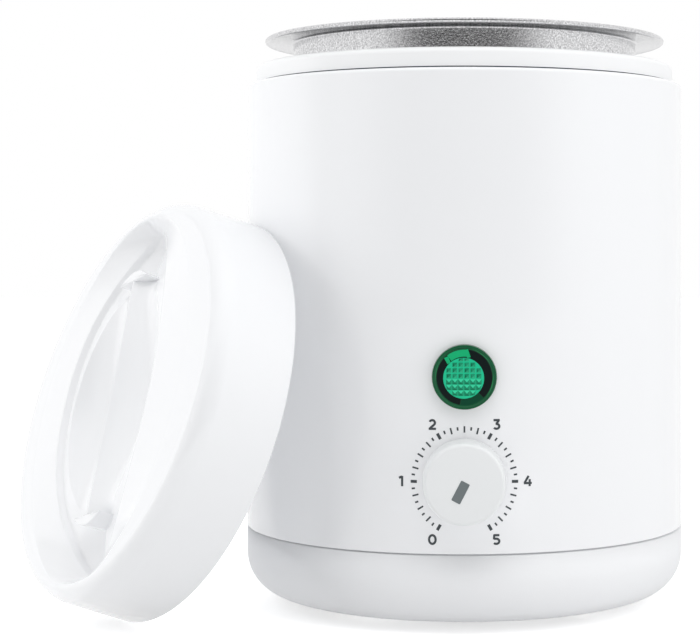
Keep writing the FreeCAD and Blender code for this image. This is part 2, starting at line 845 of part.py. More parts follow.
def make_lamp_tabs():
    tabs = []
    for side in (-1, 1):
        x = side * lamp_tab_spread
        tabs.append(block(x - lamp_tab_thickness / 2.0, x + lamp_tab_thickness / 2.0,
                          lamp_back, lamp_back + lamp_tab_length,
                          lamp_z - lamp_tab_width / 2.0, lamp_z + lamp_tab_width / 2.0))
    return Part.makeCompound(tabs)


def make_lamp_clip():
    return tube(clip_radius, lens_stem_radius + thread_fit, Vector(0, clip_front, lamp_z),
                Vector(0, clip_front + clip_thickness, lamp_z))


# ---------------------------------------------------------------- mains side and leads

def pole_x(number):
    """Place across the block of pole 0, 1 or 2: live, neutral and earth."""
    return (1 - number) * pole_pitch


def make_terminal_block():
    half = block_length / 2.0
    body = block(-half, half, block_front, block_front + block_depth, standoff_top, block_top)
    cuts = []
    for side in (-1, 1):
        cuts.append(post(screw_small[0] + hole_fit, side * block_screw_spread, block_y,
                         standoff_top - past, block_top + past))
    for number in range(3):
        cuts.append(post(pole_radius + hole_fit, pole_x(number), block_y, pole_seat, block_top + past))
        mouth = Vector(pole_x(number), block_front + block_depth + past, lead_z)
        cuts.append(rod(lead_radius + hole_fit, mouth, Vector(pole_x(number), block_y + pole_well, lead_z)))
    return body.cut(cuts).removeSplitter()


def make_pole_screws():
    down = Vector(0, 0, -1)
    size = (pole_shank_radius, pole_radius, pole_head)
    seat = pole_seat + pole_shank
    return Part.makeCompound([screw(Vector(pole_x(number), block_y, seat), down, pole_shank, size)
                              for number in range(3)])


def make_block_screws():
    down = Vector(0, 0, -1)
    return Part.makeCompound([screw(Vector(side * block_screw_spread, block_y, block_top), down,
                                    block_height + small_screw_bite, screw_small) for side in (-1, 1)])


def make_inlet_bush():
    inner_face = shell_inner - slip_fit
    outer_face = shell_radius + slip_fit
    end_y = outer_face + inlet_flange
    start = Vector(0, inner_face - inlet_groove, inlet_z)
    neck = rod(inlet_neck_radius, start, Vector(0, end_y, inlet_z))
    flange = rod(inlet_flange_radius, Vector(0, outer_face, inlet_z), Vector(0, end_y, inlet_z))
    barb_radius = inlet_neck_radius + inlet_barb
    barb_face = math.sqrt(shell_inner ** 2 - barb_radius ** 2) - slip_fit
    barb = rod(barb_radius, start, Vector(0, barb_face, inlet_z))
    bore = rod(inlet_bore_radius, start - Vector(0, past, 0), Vector(0, end_y + past, inlet_z))
    return neck.multiFuse([flange, barb]).cut(bore).removeSplitter()


def block_entry(number, side):
    """Last two points of a lead that enters the front of the block at a pole."""
    x = pole_x(number) + side * lead_pair / 2.0
    return [Vector(x, block_front - 9.0, lead_z), Vector(x, block_front, lead_z)]


def make_capillary():
    exit_x = thermostat_width / 4.0
    exit_y = plate_y + thermostat_depth * 0.57
    end = Vector(bulb_offset, -bulb_length / 2.0, bulb_z)
    route = [Vector(exit_x, exit_y, thermostat_top), Vector(exit_x, exit_y, thermostat_top + 14.0),
             end + Vector(0, -16.0, 0), end]
    return bent_rod(route, capillary_radius, capillary_bend)


def make_live_lead():
    tab = Vector(thermostat_tab_spread, thermostat_back + thermostat_tab_length, thermostat_tab_z)
    route = [tab, tab + Vector(0, 8.0, 0)] + block_entry(0, 1)
    return bent_rod(route, lead_radius, lead_bend)


def make_fuse_lead():
    tab = Vector(-thermostat_tab_spread, thermostat_back + thermostat_tab_length, thermostat_tab_z)
    end = Vector(-bulb_offset, -fuse_length / 2.0, bulb_z)
    rise = Vector(-bulb_offset, tab.y + 9.0, (tab.z + bulb_z) / 2.0)
    return bent_rod([tab, tab + Vector(0, 9.0, 0), rise, end + Vector(0, -9.0, 0), end],
                    lead_radius, lead_bend)


def make_heater_lead():
    start = Vector(-bulb_offset, fuse_length / 2.0, bulb_z)
    end = Vector(-tab_spread, tab_y + tab_thickness / 2.0, tab_bottom)
    route = [start, start + Vector(0, 10.0, 0), end + Vector(0, -8.0, -9.0), end + Vector(0, 0, -6.0), end]
    return bent_rod(route, lead_radius, lead_bend)


def make_return_lead():
    start = Vector(tab_spread, tab_y + tab_thickness / 2.0, tab_bottom)
    entry = block_entry(1, 1)
    route = [start, start + Vector(0, 0, -14.0), entry[0] + Vector(1.5, 4.0, 30.0)] + entry
    return bent_rod(route, lead_radius, lead_bend)


def make_earth_lead():
    start = Vector(0, tag_length, tag_top - tag_thickness / 2.0)
    entry = block_entry(2, 0)
    route = [start, start + Vector(0, 8.0, 0), entry[0] + Vector(2.0, 8.0, 30.0)] + entry
    return bent_rod(route, tag_thickness / 2.0, lead_bend)


def make_lamp_leads():
    leads = []
    for number, side in ((0, 1), (1, -1)):
        tab = Vector(side * lamp_tab_spread, lamp_back + lamp_tab_length, lamp_z)
        entry = block_entry(number, -1)
        route = [tab, tab + Vector(0, 8.0, 0), entry[0] + Vector(0, -4.0, 22.0)] + entry
        leads.append(bent_rod(route, lead_radius, lead_bend))
    return Part.makeCompound(leads)


# ---------------------------------------------------------------- lid

def crown_ball(edge_radius, edge_z, rise):
    """Ball whose top passes through a circle and rises by a given height at its middle."""
    ball = (edge_radius ** 2 + rise ** 2) / (2.0 * rise)
    return Part.makeSphere(ball, Vector(0, 0, edge_z + rise - ball))


def lid_body(inset):
    """Lid's closed outline, drawn in by inset, standing on its rim plane."""
    rim = lid_radius - inset
    top = rim - lid_draft
    edge_z = lid_edge_z - inset
    drum = spin([(0, 0, 0), (rim, 0, 0), (top, edge_z, lid_edge), (0, edge_z, 0)])
    reach = top - lid_edge
    cap = crown_ball(reach, edge_z, lid_crown)
    cap = cap.common(post(reach, 0, 0, edge_z - lid_wall / 4.0, edge_z + 2 * lid_crown))
    return drum.fuse(cap).removeSplitter()


def arc_reach(half_length, half_width, y):
    """Half the width at y of a lens whose two sides are arcs, at least half a millimetre."""
    radius = (half_length ** 2 + half_width ** 2) / (2.0 * half_width)
    return max(0.5, math.sqrt(max(0.0, radius ** 2 - y * y)) - radius + half_width)


def band_tool(depth):
    """What lies above the band, drawn out and down by depth: a V that opens from one end of the lid
    to the middle, where it is as high as the crown, and closes to the other end, inside the rim."""
    reach = lid_radius - lid_draft - lid_edge
    ball = (reach ** 2 + lid_crown ** 2) / (2.0 * lid_crown)
    above = lid_edge_z + 2.0 * lid_crown
    sections = []
    for share in (-1.0, -0.9, -0.75, -0.5, -0.25, 0.0, 0.25, 0.5, 0.75, 0.9, 1.0):
        y = share * (eye_half_length + band_tip + depth)
        foot = arc_reach(lens_half_length, lens_half_width, y) + 1.0
        crest = arc_reach(eye_half_length, eye_half_width, y)
        fall = math.sqrt(max(0.0, ball ** 2 - foot ** 2 - y * y)) - ball + lid_crown
        foot_z = lid_edge_z + fall + 0.15
        crest_z = max(band_end, band_crest - y * y / (2.0 * band_radius))
        corners = [(-foot, foot_z), (-crest, crest_z), (crest, crest_z), (foot, foot_z)]
        corners = [(x + math.copysign(depth, x), z - depth) for x, z in corners]
        corners += [(foot + depth, above), (-foot - depth, above)]
        sections.append(Part.makePolygon([Vector(x, y, z) for x, z in corners + corners[:1]]))
    return Part.makeLoft(sections, True, False)


def make_lid():
    outer = lid_body(0.0).cut(band_tool(0.0))
    above = lid_edge_z + 2.0 * lid_crown
    ceiling = scoop_z - scoop_radius - lid_wall
    under_grip = eye_prism(eye_half_length + lid_wall, eye_half_width + lid_wall, ceiling, above)
    under_grip = under_grip.common(post(lid_radius - lid_wall, 0, 0, 0, above))
    cavity = lid_body(lid_wall).cut([under_grip, band_tool(lid_wall)])
    cavity = cavity.fuse(post(lid_radius - lid_wall, 0, 0, -1, 0.01))
    floor = rod(eye_floor_radius, Vector(-lid_radius, 0, eye_floor_top - eye_floor_radius),
                Vector(lid_radius, 0, eye_floor_top - eye_floor_radius))
    hollow = eye_prism(eye_half_length, eye_half_width, ceiling, above).cut(floor)
    grip = block(-grip_half_width, grip_half_width, -grip_half_length, grip_half_length, ceiling, grip_top)
    bend = (grip_half_width ** 2 + grip_end_bulge ** 2) / (2.0 * grip_end_bulge)
    for side in (-1, 1):
        cap = post(bend, 0, side * (grip_half_length - bend), ceiling, grip_top)
        keep = block(-grip_half_width, grip_half_width,
                     *sorted((side * (grip_half_length - grip_end_bulge), side * (grip_half_length + 1))),
                     ceiling - 1, grip_top + 1)
        grip = grip.cut(keep).fuse(cap.common(keep))
    window = block(-lid_radius, lid_radius, -scoop_half_length, scoop_half_length, ceiling, above)
    scoops = []
    for side in (-1, 1):
        lean = math.radians(scoop_lean)
        middle = Vector(side * (scoop_offset - scoop_sweep * math.sin(lean)), 0,
                        scoop_z + scoop_sweep * math.cos(lean))
        normal = Vector(side * math.cos(lean), 0, math.sin(lean))
        scoops.append(Part.makeTorus(scoop_sweep, scoop_radius, middle, normal).common(window))
    lid = outer.cut([cavity, hollow]).fuse(grip)
    lid = lid.cut(scoops).removeSplitter()
    lid.transformShape(lean_matrix())
    return lid


def lid_axes():
    """Right, up and outward directions of the leaning lid, before the grip's turn."""
    lean = math.radians(lid_lean)
    heading = math.radians(lid_heading)
    out = Vector(-math.cos(lean) * math.cos(heading), -math.cos(lean) * math.sin(heading), math.sin(lean))
    right = Vector(math.sin(heading), -math.cos(heading), 0)
    return right, out.cross(right), out


def lid_centre():
    """Middle of the rim circle that stands on the table and leans on the shell, a small gap from both."""
    right, up, _ = lid_axes()
    bearing = math.radians(lid_bearing)
    toward = Vector(-math.cos(bearing), -math.sin(bearing), 0)
    height = rest_gap + lid_radius * up.z
    rim = [right * math.cos(math.radians(step)) + up * math.sin(math.radians(step)) for step in range(360)]
    near, far = shell_radius, shell_radius + 2 * lid_radius
    for _ in range(50):
        reach = (near + far) / 2.0
        points = [toward * reach + spoke * lid_radius for spoke in rim]
        nearest = min(math.hypot(point.x, point.y) for point in points)
        if nearest < shell_radius + rest_gap:
            near = reach
        else:
            far = reach
    return toward * far + Vector(0, 0, height)


def lean_matrix():
    right, up, out = lid_axes()
    turn = math.radians(lid_turn)
    across = right * math.cos(turn) + up * math.sin(turn)
    along = up * math.cos(turn) - right * math.sin(turn)
    return frame_matrix(across, along, out, lid_centre())


# ---------------------------------------------------------------- all pieces

PIECES = {
    "base_pan": make_base_pan,
    "rubber_feet": make_rubber_feet,
    "base_screws": make_base_screws,
    "outer_shell": make_outer_shell,
    "top_collar": make_top_collar,
    "collar_screws": make_collar_screws,
    "heating_well": make_heating_well,
    "well_screws": make_well_screws,
    "wax_pot": make_wax_pot,
    "heater_band": make_heater_band,
    "band_bolt": make_band_bolt,
    "band_nut": make_band_nut,
    "heater_tabs": make_heater_tabs,
    "insulation_sleeve": make_insulation_sleeve,
    "sensor_bulb": make_sensor_bulb,
    "capillary_tube": make_capillary,
    "thermal_fuse": make_thermal_fuse,
    "clamp_plate": make_clamp_plate,
    "earth_tag": make_earth_tag,
    "stud_nut": make_stud_nut,
    "thermostat_bracket": make_thermostat_bracket,
    "bracket_screws": make_bracket_screws,
    "thermostat_body": make_thermostat_body,
    "thermostat_bushing": make_thermostat_bushing,
    "thermostat_nut": make_thermostat_nut,
    "thermostat_tabs": make_thermostat_tabs,
    "thermostat_spindle": make_thermostat_spindle,
    "control_knob": make_control_knob,
    "knob_pointer": make_knob_pointer,
    "knob_spring": make_knob_spring,
    "lamp_lens": make_lamp_lens,
    "lamp_body": make_lamp_body,
    "neon_bulb": make_neon_bulb,
    "lamp_tabs": make_lamp_tabs,
    "lamp_clip": make_lamp_clip,
    "terminal_block": make_terminal_block,
    "pole_screws": make_pole_screws,
    "block_screws": make_block_screws,
    "inlet_bush": make_inlet_bush,
    "live_lead": make_live_lead,
    "fuse_lead": make_fuse_lead,
    "heater_lead": make_heater_lead,
    "return_lead": make_return_lead,
    "earth_lead": make_earth_lead,
    "lamp_leads": make_lamp_leads,
    "lid": make_lid,
}

os.makedirs("parts", exist_ok=True)
for name, make in PIECES.items():
    shape = make()
    if not shape.isValid() or shape.Volume <= 0:
        raise ValueError(name + " is not a sound solid")
    shape.exportStep("parts/" + name + ".step")
    box = shape.BoundBox
    print("%-20s %d solids, %9.1f mm3, z %.2f to %.2f"
          % (name, len(shape.Solids), shape.Volume, box.ZMin, box.ZMax))
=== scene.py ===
import json
import math

import bmesh
import bpy
import numpy as np
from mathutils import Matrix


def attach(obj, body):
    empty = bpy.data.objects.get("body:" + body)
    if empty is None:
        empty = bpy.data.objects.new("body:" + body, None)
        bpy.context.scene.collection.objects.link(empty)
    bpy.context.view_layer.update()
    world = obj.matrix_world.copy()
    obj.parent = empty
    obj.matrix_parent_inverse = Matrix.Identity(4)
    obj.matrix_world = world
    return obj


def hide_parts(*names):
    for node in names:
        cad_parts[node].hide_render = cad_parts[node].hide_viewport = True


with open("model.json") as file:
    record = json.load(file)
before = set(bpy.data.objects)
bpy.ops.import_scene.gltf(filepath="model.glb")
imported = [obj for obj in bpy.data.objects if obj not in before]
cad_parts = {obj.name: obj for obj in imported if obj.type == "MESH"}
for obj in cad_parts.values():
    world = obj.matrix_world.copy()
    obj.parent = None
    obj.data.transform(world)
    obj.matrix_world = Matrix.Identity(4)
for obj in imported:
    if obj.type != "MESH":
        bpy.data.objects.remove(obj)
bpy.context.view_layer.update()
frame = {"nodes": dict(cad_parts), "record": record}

# Candle wax melter: the looks of its casing, pot, lid, knob, dial and lamp.
# Sizes are in millimetres here and become metres where a mesh is made.

MM = 0.001

# ---------------------------------------------------------------- driving sizes

shell_radius = 56.0
shell_wall = 2.0
shell_low = 19.6
shell_high = 131.9
shell_edge = 1.0
ledge_low, ledge_high, ledge_radius = 120.0, 122.5, 48.8

collar_radius = 53.7
collar_high = 136.9
collar_low = 122.5
collar_skirt = 2.2
collar_plate = 2.5
collar_edge = 1.5
collar_bore = 45.3
collar_neck_low = 130.0
collar_neck_wall = 1.5
seam_width = 0.42           # of the open joint over the shell's top edge
seam_depth = 0.4
seam_lift = 0.03            # of its dark face, painted shade, from the collar

pot_radius = 44.2
pot_wall = 1.2
pot_low = 88.0
pot_high = 143.8
pot_flange = 51.5
pot_flange_thick = 1.0
pot_bead = 0.6              # radius of the flange's rolled edge
pot_corner = 5.0

well_radius = 45.8
well_wall = 1.0
well_low = 86.6
well_high = 130.0
well_flange = 50.6
well_corner = 4.4
well_floor = 1.2
stud_low, stud_radius = 75.6, 2.0

knob_z = 36.8
knob_y = -56.6
knob_radius = 9.3
knob_draft = 0.3
knob_height = 9.2
knob_edge = 1.0
knob_turn = 27.5           # degrees the pointer stands left of straight down at rest

pointer_length = 5.0
pointer_width = 2.2
pointer_back = 0.65         # how far the pointer starts behind the middle of the face
pointer_corner = 0.25

lamp_z = 60.5
lamp_y = -56.1
lens_radius = 7.55
lens_height = 1.8
lens_face = 1.45            # level of the face inside the lens's raised edge
window_radius = 4.7         # the round prism window
window_at = (-0.17, -0.22)
prism_pitch = (1.375, 1.3)
prism_corner = (-4.24, 4.82)
ring_outer = 6.35           # outer radius of the painted shade in the gap round the window

dial_height = 12.85         # radius of the ring of ticks, up and down
dial_width = 12.5           # and along the shell, sideways
tick_turn = 7.5             # degrees from tick to tick
ticks_per_number = 8
number_places = [(-7.4, -13.3), (-14.8, 0.0), (-7.4, 13.2), (7.4, 13.2), (14.8, 0.0), (7.4, -13.3)]
number_stroke = 0.52
dial_drop = 0.5             # of the middle of the print below the knob's axis
print_lift = 0.02           # of the print from the shell
print_thickness = 0.03

lid_radius = 50.7
lid_wall = 2.2
lid_draft = 1.0
lid_top_radius = 46.4       # where the rounded edge meets the top
lid_top_level = 20.4
lid_edge_drop = 5.4         # height of the rounded edge
lid_crown = 1.8
band_half_length = 49.0
band_half_width = 38.0
crest_high = 21.6           # level of the band's crest at the middle of the lid
crest_fall = 7.0            # how far it falls to the ends
eye_half_length = 45.4      # of the opening inside the crests
eye_half_width = 23.7
ledge_step = 1.5            # down from the crest to the ledge, and the width of that step
ledge_run = 1.2
keel_depth = 2.6            # of the ledge's middle past the scoops
keel_from, keel_full = 24.0, 32.0
rim_start = 43.0            # from where all of it rises to the level of the rim
scoops_half_length = 33.0
scoops_half_width = 21.0
scoop_radius = 12.0
ridge_level = 20.4
ridge_half_length = 29.8
cap_half_width = 6.8
cap_bulge = 2.4
under_grip = 12.1           # level of the lid's inside behind the grip
lid_lean = 18.6             # degrees, tilt of the lid's rim from upright
lid_heading = 32.8          # degrees from -X to -Y, the way the lid's top faces
lid_bearing = 20.4          # degrees from -X to -Y, where the lid stands beside the casing
lid_turn = 15.3             # degrees, of the grip in the lid's plane
rest_gap = 0.3

around_steps = 360          # points round a turned surface


# ---------------------------------------------------------------- shaping

def quads_of(rows, cols, loop_rows=False, loop_cols=False):
    """Faces of a grid of points numbered row by row: each face joins a point, its neighbour along
    the row and the two under them, and a loop joins the last row or column to the first."""
    row = np.arange(rows if loop_rows else rows - 1)
    col = np.arange(cols if loop_cols else cols - 1)
    row, col = np.meshgrid(row, col, indexing="ij")
    under, beside = (row + 1) % rows, (col + 1) % cols
    corners = [row * cols + col, row * cols + beside, under * cols + beside, under * cols + col]
    return np.stack(corners, axis=-1).reshape(-1, 4)


def rounded_path(corners, arc_steps=8):
    """Path through (a, b, rounding) corners. Each rounding above 0 becomes an arc that touches both
    runs: its middle lies on the line that halves the corner, at rounding / sin(half the corner)."""
    spots = np.array([corner[:2] for corner in corners], dtype=float)
    path = []
    for index, (_, _, rounding) in enumerate(corners):
        here = spots[index]
        if rounding <= 0 or index in (0, len(corners) - 1):
            path.append(here)
            continue
        back = spots[index - 1] - here
        ahead = spots[index + 1] - here
        back, ahead = back / np.linalg.norm(back), ahead / np.linalg.norm(ahead)
        half = math.acos(np.clip(back @ ahead, -1, 1)) / 2
        reach = rounding / math.tan(half)
        middle = here + (back + ahead) / np.linalg.norm(back + ahead) * rounding / math.sin(half)
        start, end = here + back * reach - middle, here + ahead * reach - middle
        share = np.linspace(0, 1, arc_steps + 1)[:, None]
        sweep = math.pi - 2 * half
        arc = (np.sin((1 - share) * sweep) * start + np.sin(share * sweep) * end) / math.sin(sweep)
        path.extend(middle + arc)
    return np.array(path)


def turned(path, steps=around_steps):
    """Surface of revolution: each (radius, height) of the path goes round Z as
    (radius cos t, radius sin t, height), and the path closes on itself unless it ends on the axis."""
    turn = np.linspace(0, 2 * math.pi, steps, endpoint=False)
    radius, height = path[:, 0][:, None], path[:, 1][:, None]
    points = np.stack([radius * np.cos(turn), radius * np.sin(turn), height + 0 * turn], axis=-1)
    on_axis = path[0, 0] < 1e-6 and path[-1, 0] < 1e-6
    return points.reshape(-1, 3), quads_of(len(path), steps, not on_axis, True)


def joined(*surfaces):
    """Several (points, faces) surfaces as one."""
    points, faces, count = [], [], 0
    for spots, quads in surfaces:
        points.append(spots)
        faces.append(quads + count)
        count += len(spots)
    return np.concatenate(points), np.concatenate(faces)


def pen_stroke(path, width, low, high, closed=False):
    """Flat bar along a path of (across, up) points: each point is set off to both sides by half the
    width, square to the path's direction there, once at the high level and once at the low one."""
    path = np.asarray(path, dtype=float)
    ahead = np.roll(path, -1, 0) - np.roll(path, 1, 0) if closed else np.gradient(path, axis=0)
    ahead = ahead / np.linalg.norm(ahead, axis=1)[:, None]
    side = np.stack([-ahead[:, 1], ahead[:, 0]], axis=1) * (np.reshape(width, (-1, 1)) / 2)
    corners = [(path + side, high), (path - side, high), (path - side, low), (path + side, low)]
    rows = np.stack([np.column_stack([spot, np.full(len(path), level)]) for spot, level in corners], axis=1)
    faces = quads_of(len(path), 4, closed, True)
    if not closed:
        ends = np.array([[0, 1, 2, 3], [0, 1, 2, 3]]) + np.array([[0], [4 * (len(path) - 1)]])
        faces = np.concatenate([faces, ends])
    return rows.reshape(-1, 3), faces


def bow(middle, wide, high, start, end, steps=24):
    """Points of an elliptic arc from one angle to another, in degrees, counted from the right."""
    turn = np.radians(np.linspace(start, end, steps + 1))
    return np.column_stack([middle[0] + wide * np.cos(turn), middle[1] + high * np.sin(turn)])


def pad(outline, low, high, rounding, arc_steps=5):
    """Raised pad on a convex outline: the outline goes up the side, comes in round the top edge by
    rounding (1 - cos a) while it rises by rounding sin a, and closes at the middle, above and below."""
    ahead = np.roll(outline, -1, 0) - np.roll(outline, 1, 0)
    inward = np.stack([-ahead[:, 1], ahead[:, 0]], axis=1) / np.linalg.norm(ahead, axis=1)[:, None]
    middle = outline.mean(axis=0)
    turn = np.linspace(0, math.pi / 2, arc_steps + 1)
    inset = np.concatenate([[0], rounding * (1 - np.cos(turn))])
    level = np.concatenate([[low], high - rounding + rounding * np.sin(turn)])
    rings = outline[None] + inward[None] * inset[:, None, None]
    rings = np.concatenate([np.broadcast_to(middle, (1, *outline.shape)), rings,
                            np.broadcast_to(middle, (1, *outline.shape))])
    level = np.concatenate([[low], level, [high]])
    rows = np.concatenate([rings, np.broadcast_to(level[:, None, None], (*rings.shape[:2], 1))], axis=2)
    return rows.reshape(-1, 3), quads_of(len(rows), len(outline), False, True)


def on_shell(surface, z):
    """A flat surface of (across, up, lift) points wrapped round the casing: across becomes the arc
    from the front, so x = r sin(across / shell radius) and y = -r cos of it, with r the lifted radius."""
    points, faces = surface
    angle, reach = points[:, 0] / shell_radius, shell_radius + points[:, 2]
    return np.stack([reach * np.sin(angle), -reach * np.cos(angle), z + points[:, 1]], axis=-1), faces


def mesh_of(name, surface, crease=38.0, painted_shades=None):
    """Mesh in metres from a surface in millimetres: seams and poles welded, faces outwards, smooth
    except where two faces meet at more than the crease angle. Shades are one value of painted light and shade
    per face."""
    points, faces = surface
    mesh = bpy.data.meshes.new(name)
    mesh.vertices.add(len(points))
    mesh.vertices.foreach_set("co", (points * MM).astype(np.float32).ravel())
    mesh.loops.add(faces.size)
    mesh.loops.foreach_set("vertex_index", faces.astype(np.int32).ravel())
    mesh.polygons.add(len(faces))
    mesh.polygons.foreach_set("loop_start", np.arange(len(faces), dtype=np.int32) * 4)
    mesh.update(calc_edges=True)
    if painted_shades is not None:
        mesh.attributes.new("shade", "FLOAT", "FACE").data.foreach_set("value", painted_shades.astype(np.float32))
    weld(mesh, crease)
    return mesh


def weld(mesh, crease, outwards=True):
    """Merges points that lie together and shades the mesh smooth between its creases."""
    shape = bmesh.new()
    shape.from_mesh(mesh)
    bmesh.ops.remove_doubles(shape, verts=shape.verts, dist=2e-7)
    if outwards:
        bmesh.ops.recalc_face_normals(shape, faces=shape.faces)
    shape.to_mesh(mesh)
    shape.free()
    mesh.validate()
    mesh.shade_smooth()
    mesh.set_sharp_from_angle(angle=math.radians(crease))


def smoothed(node, finish, body, crease=30.0):
    """A node's own shape with its facets merged and shaded smooth."""
    mesh = frame["nodes"][node].data.copy()
    weld(mesh, crease, outwards=False)
    return placed("smooth_" + node, mesh, finish, body, [node])


def piece(name, surface, material, body, stands_for=(), crease=38.0, painted_shades=None):
    """A surface as an object: see placed."""
    return placed(name, mesh_of(name, surface, crease, painted_shades), material, body, stands_for)


def placed(name, mesh, material, body, stands_for=()):
    """A mesh as an object, with its finish, its body and the nodes it stands for."""
    mesh.name = name
    mesh.materials.clear()
    made = bpy.data.objects.new(name, mesh)
    bpy.context.scene.collection.objects.link(made)
    mesh.materials.append(material)
    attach(made, body)
    if stands_for:
        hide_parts(*stands_for)
    return made


def laid_forward(surface, y, z, turn=0.0):
    """A surface drawn about Z with its base at 0, laid down to point towards the user from (0, y, z),
    and turned clockwise by so many degrees as the user sees it."""
    points, faces = surface
    angle = math.radians(turn)
    across, up = points[:, 0], points[:, 1]
    x = across * math.cos(angle) + up * math.sin(angle)
    height = up * math.cos(angle) - across * math.sin(angle)
    return np.stack([x, y - points[:, 2], z + height], axis=-1), faces


# ---------------------------------------------------------------- finishes

def noise_group(name, inputs, result, detail, roughness=0.5):
    """Node group with one noise, its grains as wide as the Size input, in metres. The caller links the
    noise to the result."""
    group = bpy.data.node_groups.new(name, "ShaderNodeTree")
    for label, default in inputs:
        socket = group.interface.new_socket(label, in_out="INPUT", socket_type="NodeSocketFloat")
        socket.default_value = default
    group.interface.new_socket(result, in_out="OUTPUT", socket_type="NodeSocketFloat")
    nodes, links = group.nodes, group.links
    inside = nodes.new("NodeGroupInput")
    outside = nodes.new("NodeGroupOutput")
    place = nodes.new("ShaderNodeTexCoord")
    scale = nodes.new("ShaderNodeMath")
    scale.operation = "DIVIDE"
    scale.inputs[0].default_value = 1.0
    noise = nodes.new("ShaderNodeTexNoise")
    noise.inputs["Detail"].default_value = detail
    noise.inputs["Roughness"].default_value = roughness
    links.new(inside.outputs["Size"], scale.inputs[1])
    links.new(scale.outputs[0], noise.inputs["Scale"])
    links.new(place.outputs["Object"], noise.inputs["Vector"])
    return group, inside, noise.outputs["Fac"], outside.inputs[result]


def grain_group():
    """Node group: fine moulded or blasted grain, as a height from 0 to 1."""
    group, _, value, height = noise_group("surface_grain", [("Size", 0.0004)], "Height", 3.0, 0.6)
    group.links.new(value, height)
    return group


def cloud_group():
    """Node group: a value that drifts between Low and High in soft clouds, for roughness."""
    inputs = [("Size", 0.02), ("Low", 0.3), ("High", 0.4)]
    group, inside, value, drifting = noise_group("soft_clouds", inputs, "Value", 4.0)
    spread_out = group.nodes.new("ShaderNodeMapRange")
    spread_out.inputs["From Min"].default_value = 0.3
    spread_out.inputs["From Max"].default_value = 0.7
    group.links.new(value, spread_out.inputs["Value"])
    group.links.new(inside.outputs["Low"], spread_out.inputs["To Min"])
    group.links.new(inside.outputs["High"], spread_out.inputs["To Max"])
    group.links.new(spread_out.outputs["Result"], drifting)
    return group


grain = grain_group()
clouds = cloud_group()
finishes = {}               # materials by name, and for two of them also by another slot's name


def finish_of(name, color, rough, grain_size, bump, metallic=0.0, coat=0.0, specular=0.5):
    """Material with a plain colour, a roughness that drifts softly, and a fine grain in its bump. Under
    its name in finishes it dresses the nodes of the slot of that name."""
    material = bpy.data.materials.new(name)
    material.use_nodes = True
    nodes, links = material.node_tree.nodes, material.node_tree.links
    shader = nodes["Principled BSDF"]
    shader.inputs["Base Color"].default_value = (*color, 1.0)
    shader.inputs["Metallic"].default_value = metallic
    shader.inputs["IOR"].default_value = 1.5
    shader.inputs["Specular IOR Level"].default_value = specular
    shader.inputs["Coat Weight"].default_value = coat
    shader.inputs["Coat Roughness"].default_value = 0.05
    drift = nodes.new("ShaderNodeGroup")
    drift.node_tree = clouds
    drift.inputs["Size"].default_value = 0.02
    drift.inputs["Low"].default_value, drift.inputs["High"].default_value = rough
    links.new(drift.outputs["Value"], shader.inputs["Roughness"])
    grains = nodes.new("ShaderNodeGroup")
    grains.node_tree = grain
    grains.inputs["Size"].default_value = grain_size
    lift = nodes.new("ShaderNodeBump")
    lift.inputs["Strength"].default_value = 1.0
    lift.inputs["Distance"].default_value = bump
    links.new(grains.outputs["Height"], lift.inputs["Height"])
    links.new(lift.outputs["Normal"], shader.inputs["Normal"])
    finishes[name] = material
    return material


def ramp_color(material, value, dark, light, low=0.0, high=1.0):
    """Base colour from dark, where the value is low, to light, where it is high."""
    nodes, links = material.node_tree.nodes, material.node_tree.links
    ramp = nodes.new("ShaderNodeValToRGB")
    for element, position, color in zip(ramp.color_ramp.elements, (low, high), (dark, light)):
        element.position = position
        element.color = (*color, 1.0)
    links.new(value, ramp.inputs["Fac"])
    links.new(ramp.outputs["Color"], nodes["Principled BSDF"].inputs["Base Color"])


def painted_face_shading(material, dark, light):
    """Painted light and shade: base colour between a shaded and a lit colour, by the value that each face of
    the piece carries.
    """
    shade = material.node_tree.nodes.new("ShaderNodeAttribute")
    shade.attribute_name = "shade"
    ramp_color(material, shade.outputs["Fac"], dark, light)


def speckled(material, size, dark, light):
    """Base colour that goes between two colours with the fine grain, as on a blasted surface."""
    grains = material.node_tree.nodes.new("ShaderNodeGroup")
    grains.node_tree = grain
    grains.inputs["Size"].default_value = size
    ramp_color(material, grains.outputs["Height"], dark, light, 0.35, 0.65)


def srgb(red, green, blue):
    """Linear colour from the 0 to 255 values that a screen shows."""
    parts = np.array([red, green, blue]) / 255
    return tuple(np.where(parts <= 0.04045, parts / 12.92, ((parts + 0.055) / 1.055) ** 2.4))


gloss_white = finish_of("gloss_white", srgb(237, 238, 240), (0.22, 0.26), 0.0006, 0.000004, coat=0.5)
matte_white = finish_of("matte_white", srgb(235, 236, 238), (0.5, 0.58), 0.00025, 0.00002)
collar_white = finish_of("collar_white", srgb(238, 239, 240), (0.35, 0.4), 0.0003, 0.00001)
lid_white = finish_of("lid_white", srgb(236, 237, 239), (0.2, 0.25), 0.0004, 0.000003, coat=0.6)
knob_white = finish_of("knob_white", srgb(228, 230, 231), (0.32, 0.38), 0.0003, 0.000006)
pointer_grey = finish_of("pointer_grey", srgb(104, 112, 114), (0.45, 0.5), 0.0002, 0.000006)
print_grey = finish_of("print_grey", srgb(58, 64, 68), (0.4, 0.5), 0.0002, 0.000004)
pot_metal = finish_of("pot_aluminium", (0.8, 0.8, 0.81), (0.13, 0.17), 0.0004, 0.00003, metallic=1.0)
speckled(pot_metal, 0.0004, (0.47, 0.47, 0.48), (0.86, 0.86, 0.87))
well_metal = finish_of("well_aluminium", (0.72, 0.72, 0.72), (0.35, 0.5), 0.0004, 0.00003, metallic=1.0)
finish_of("band_steel", (0.56, 0.56, 0.57), (0.3, 0.45), 0.0003, 0.00002, metallic=1.0)
finish_of("screw_steel", (0.66, 0.66, 0.64), (0.25, 0.35), 0.0003, 0.00001, metallic=1.0)
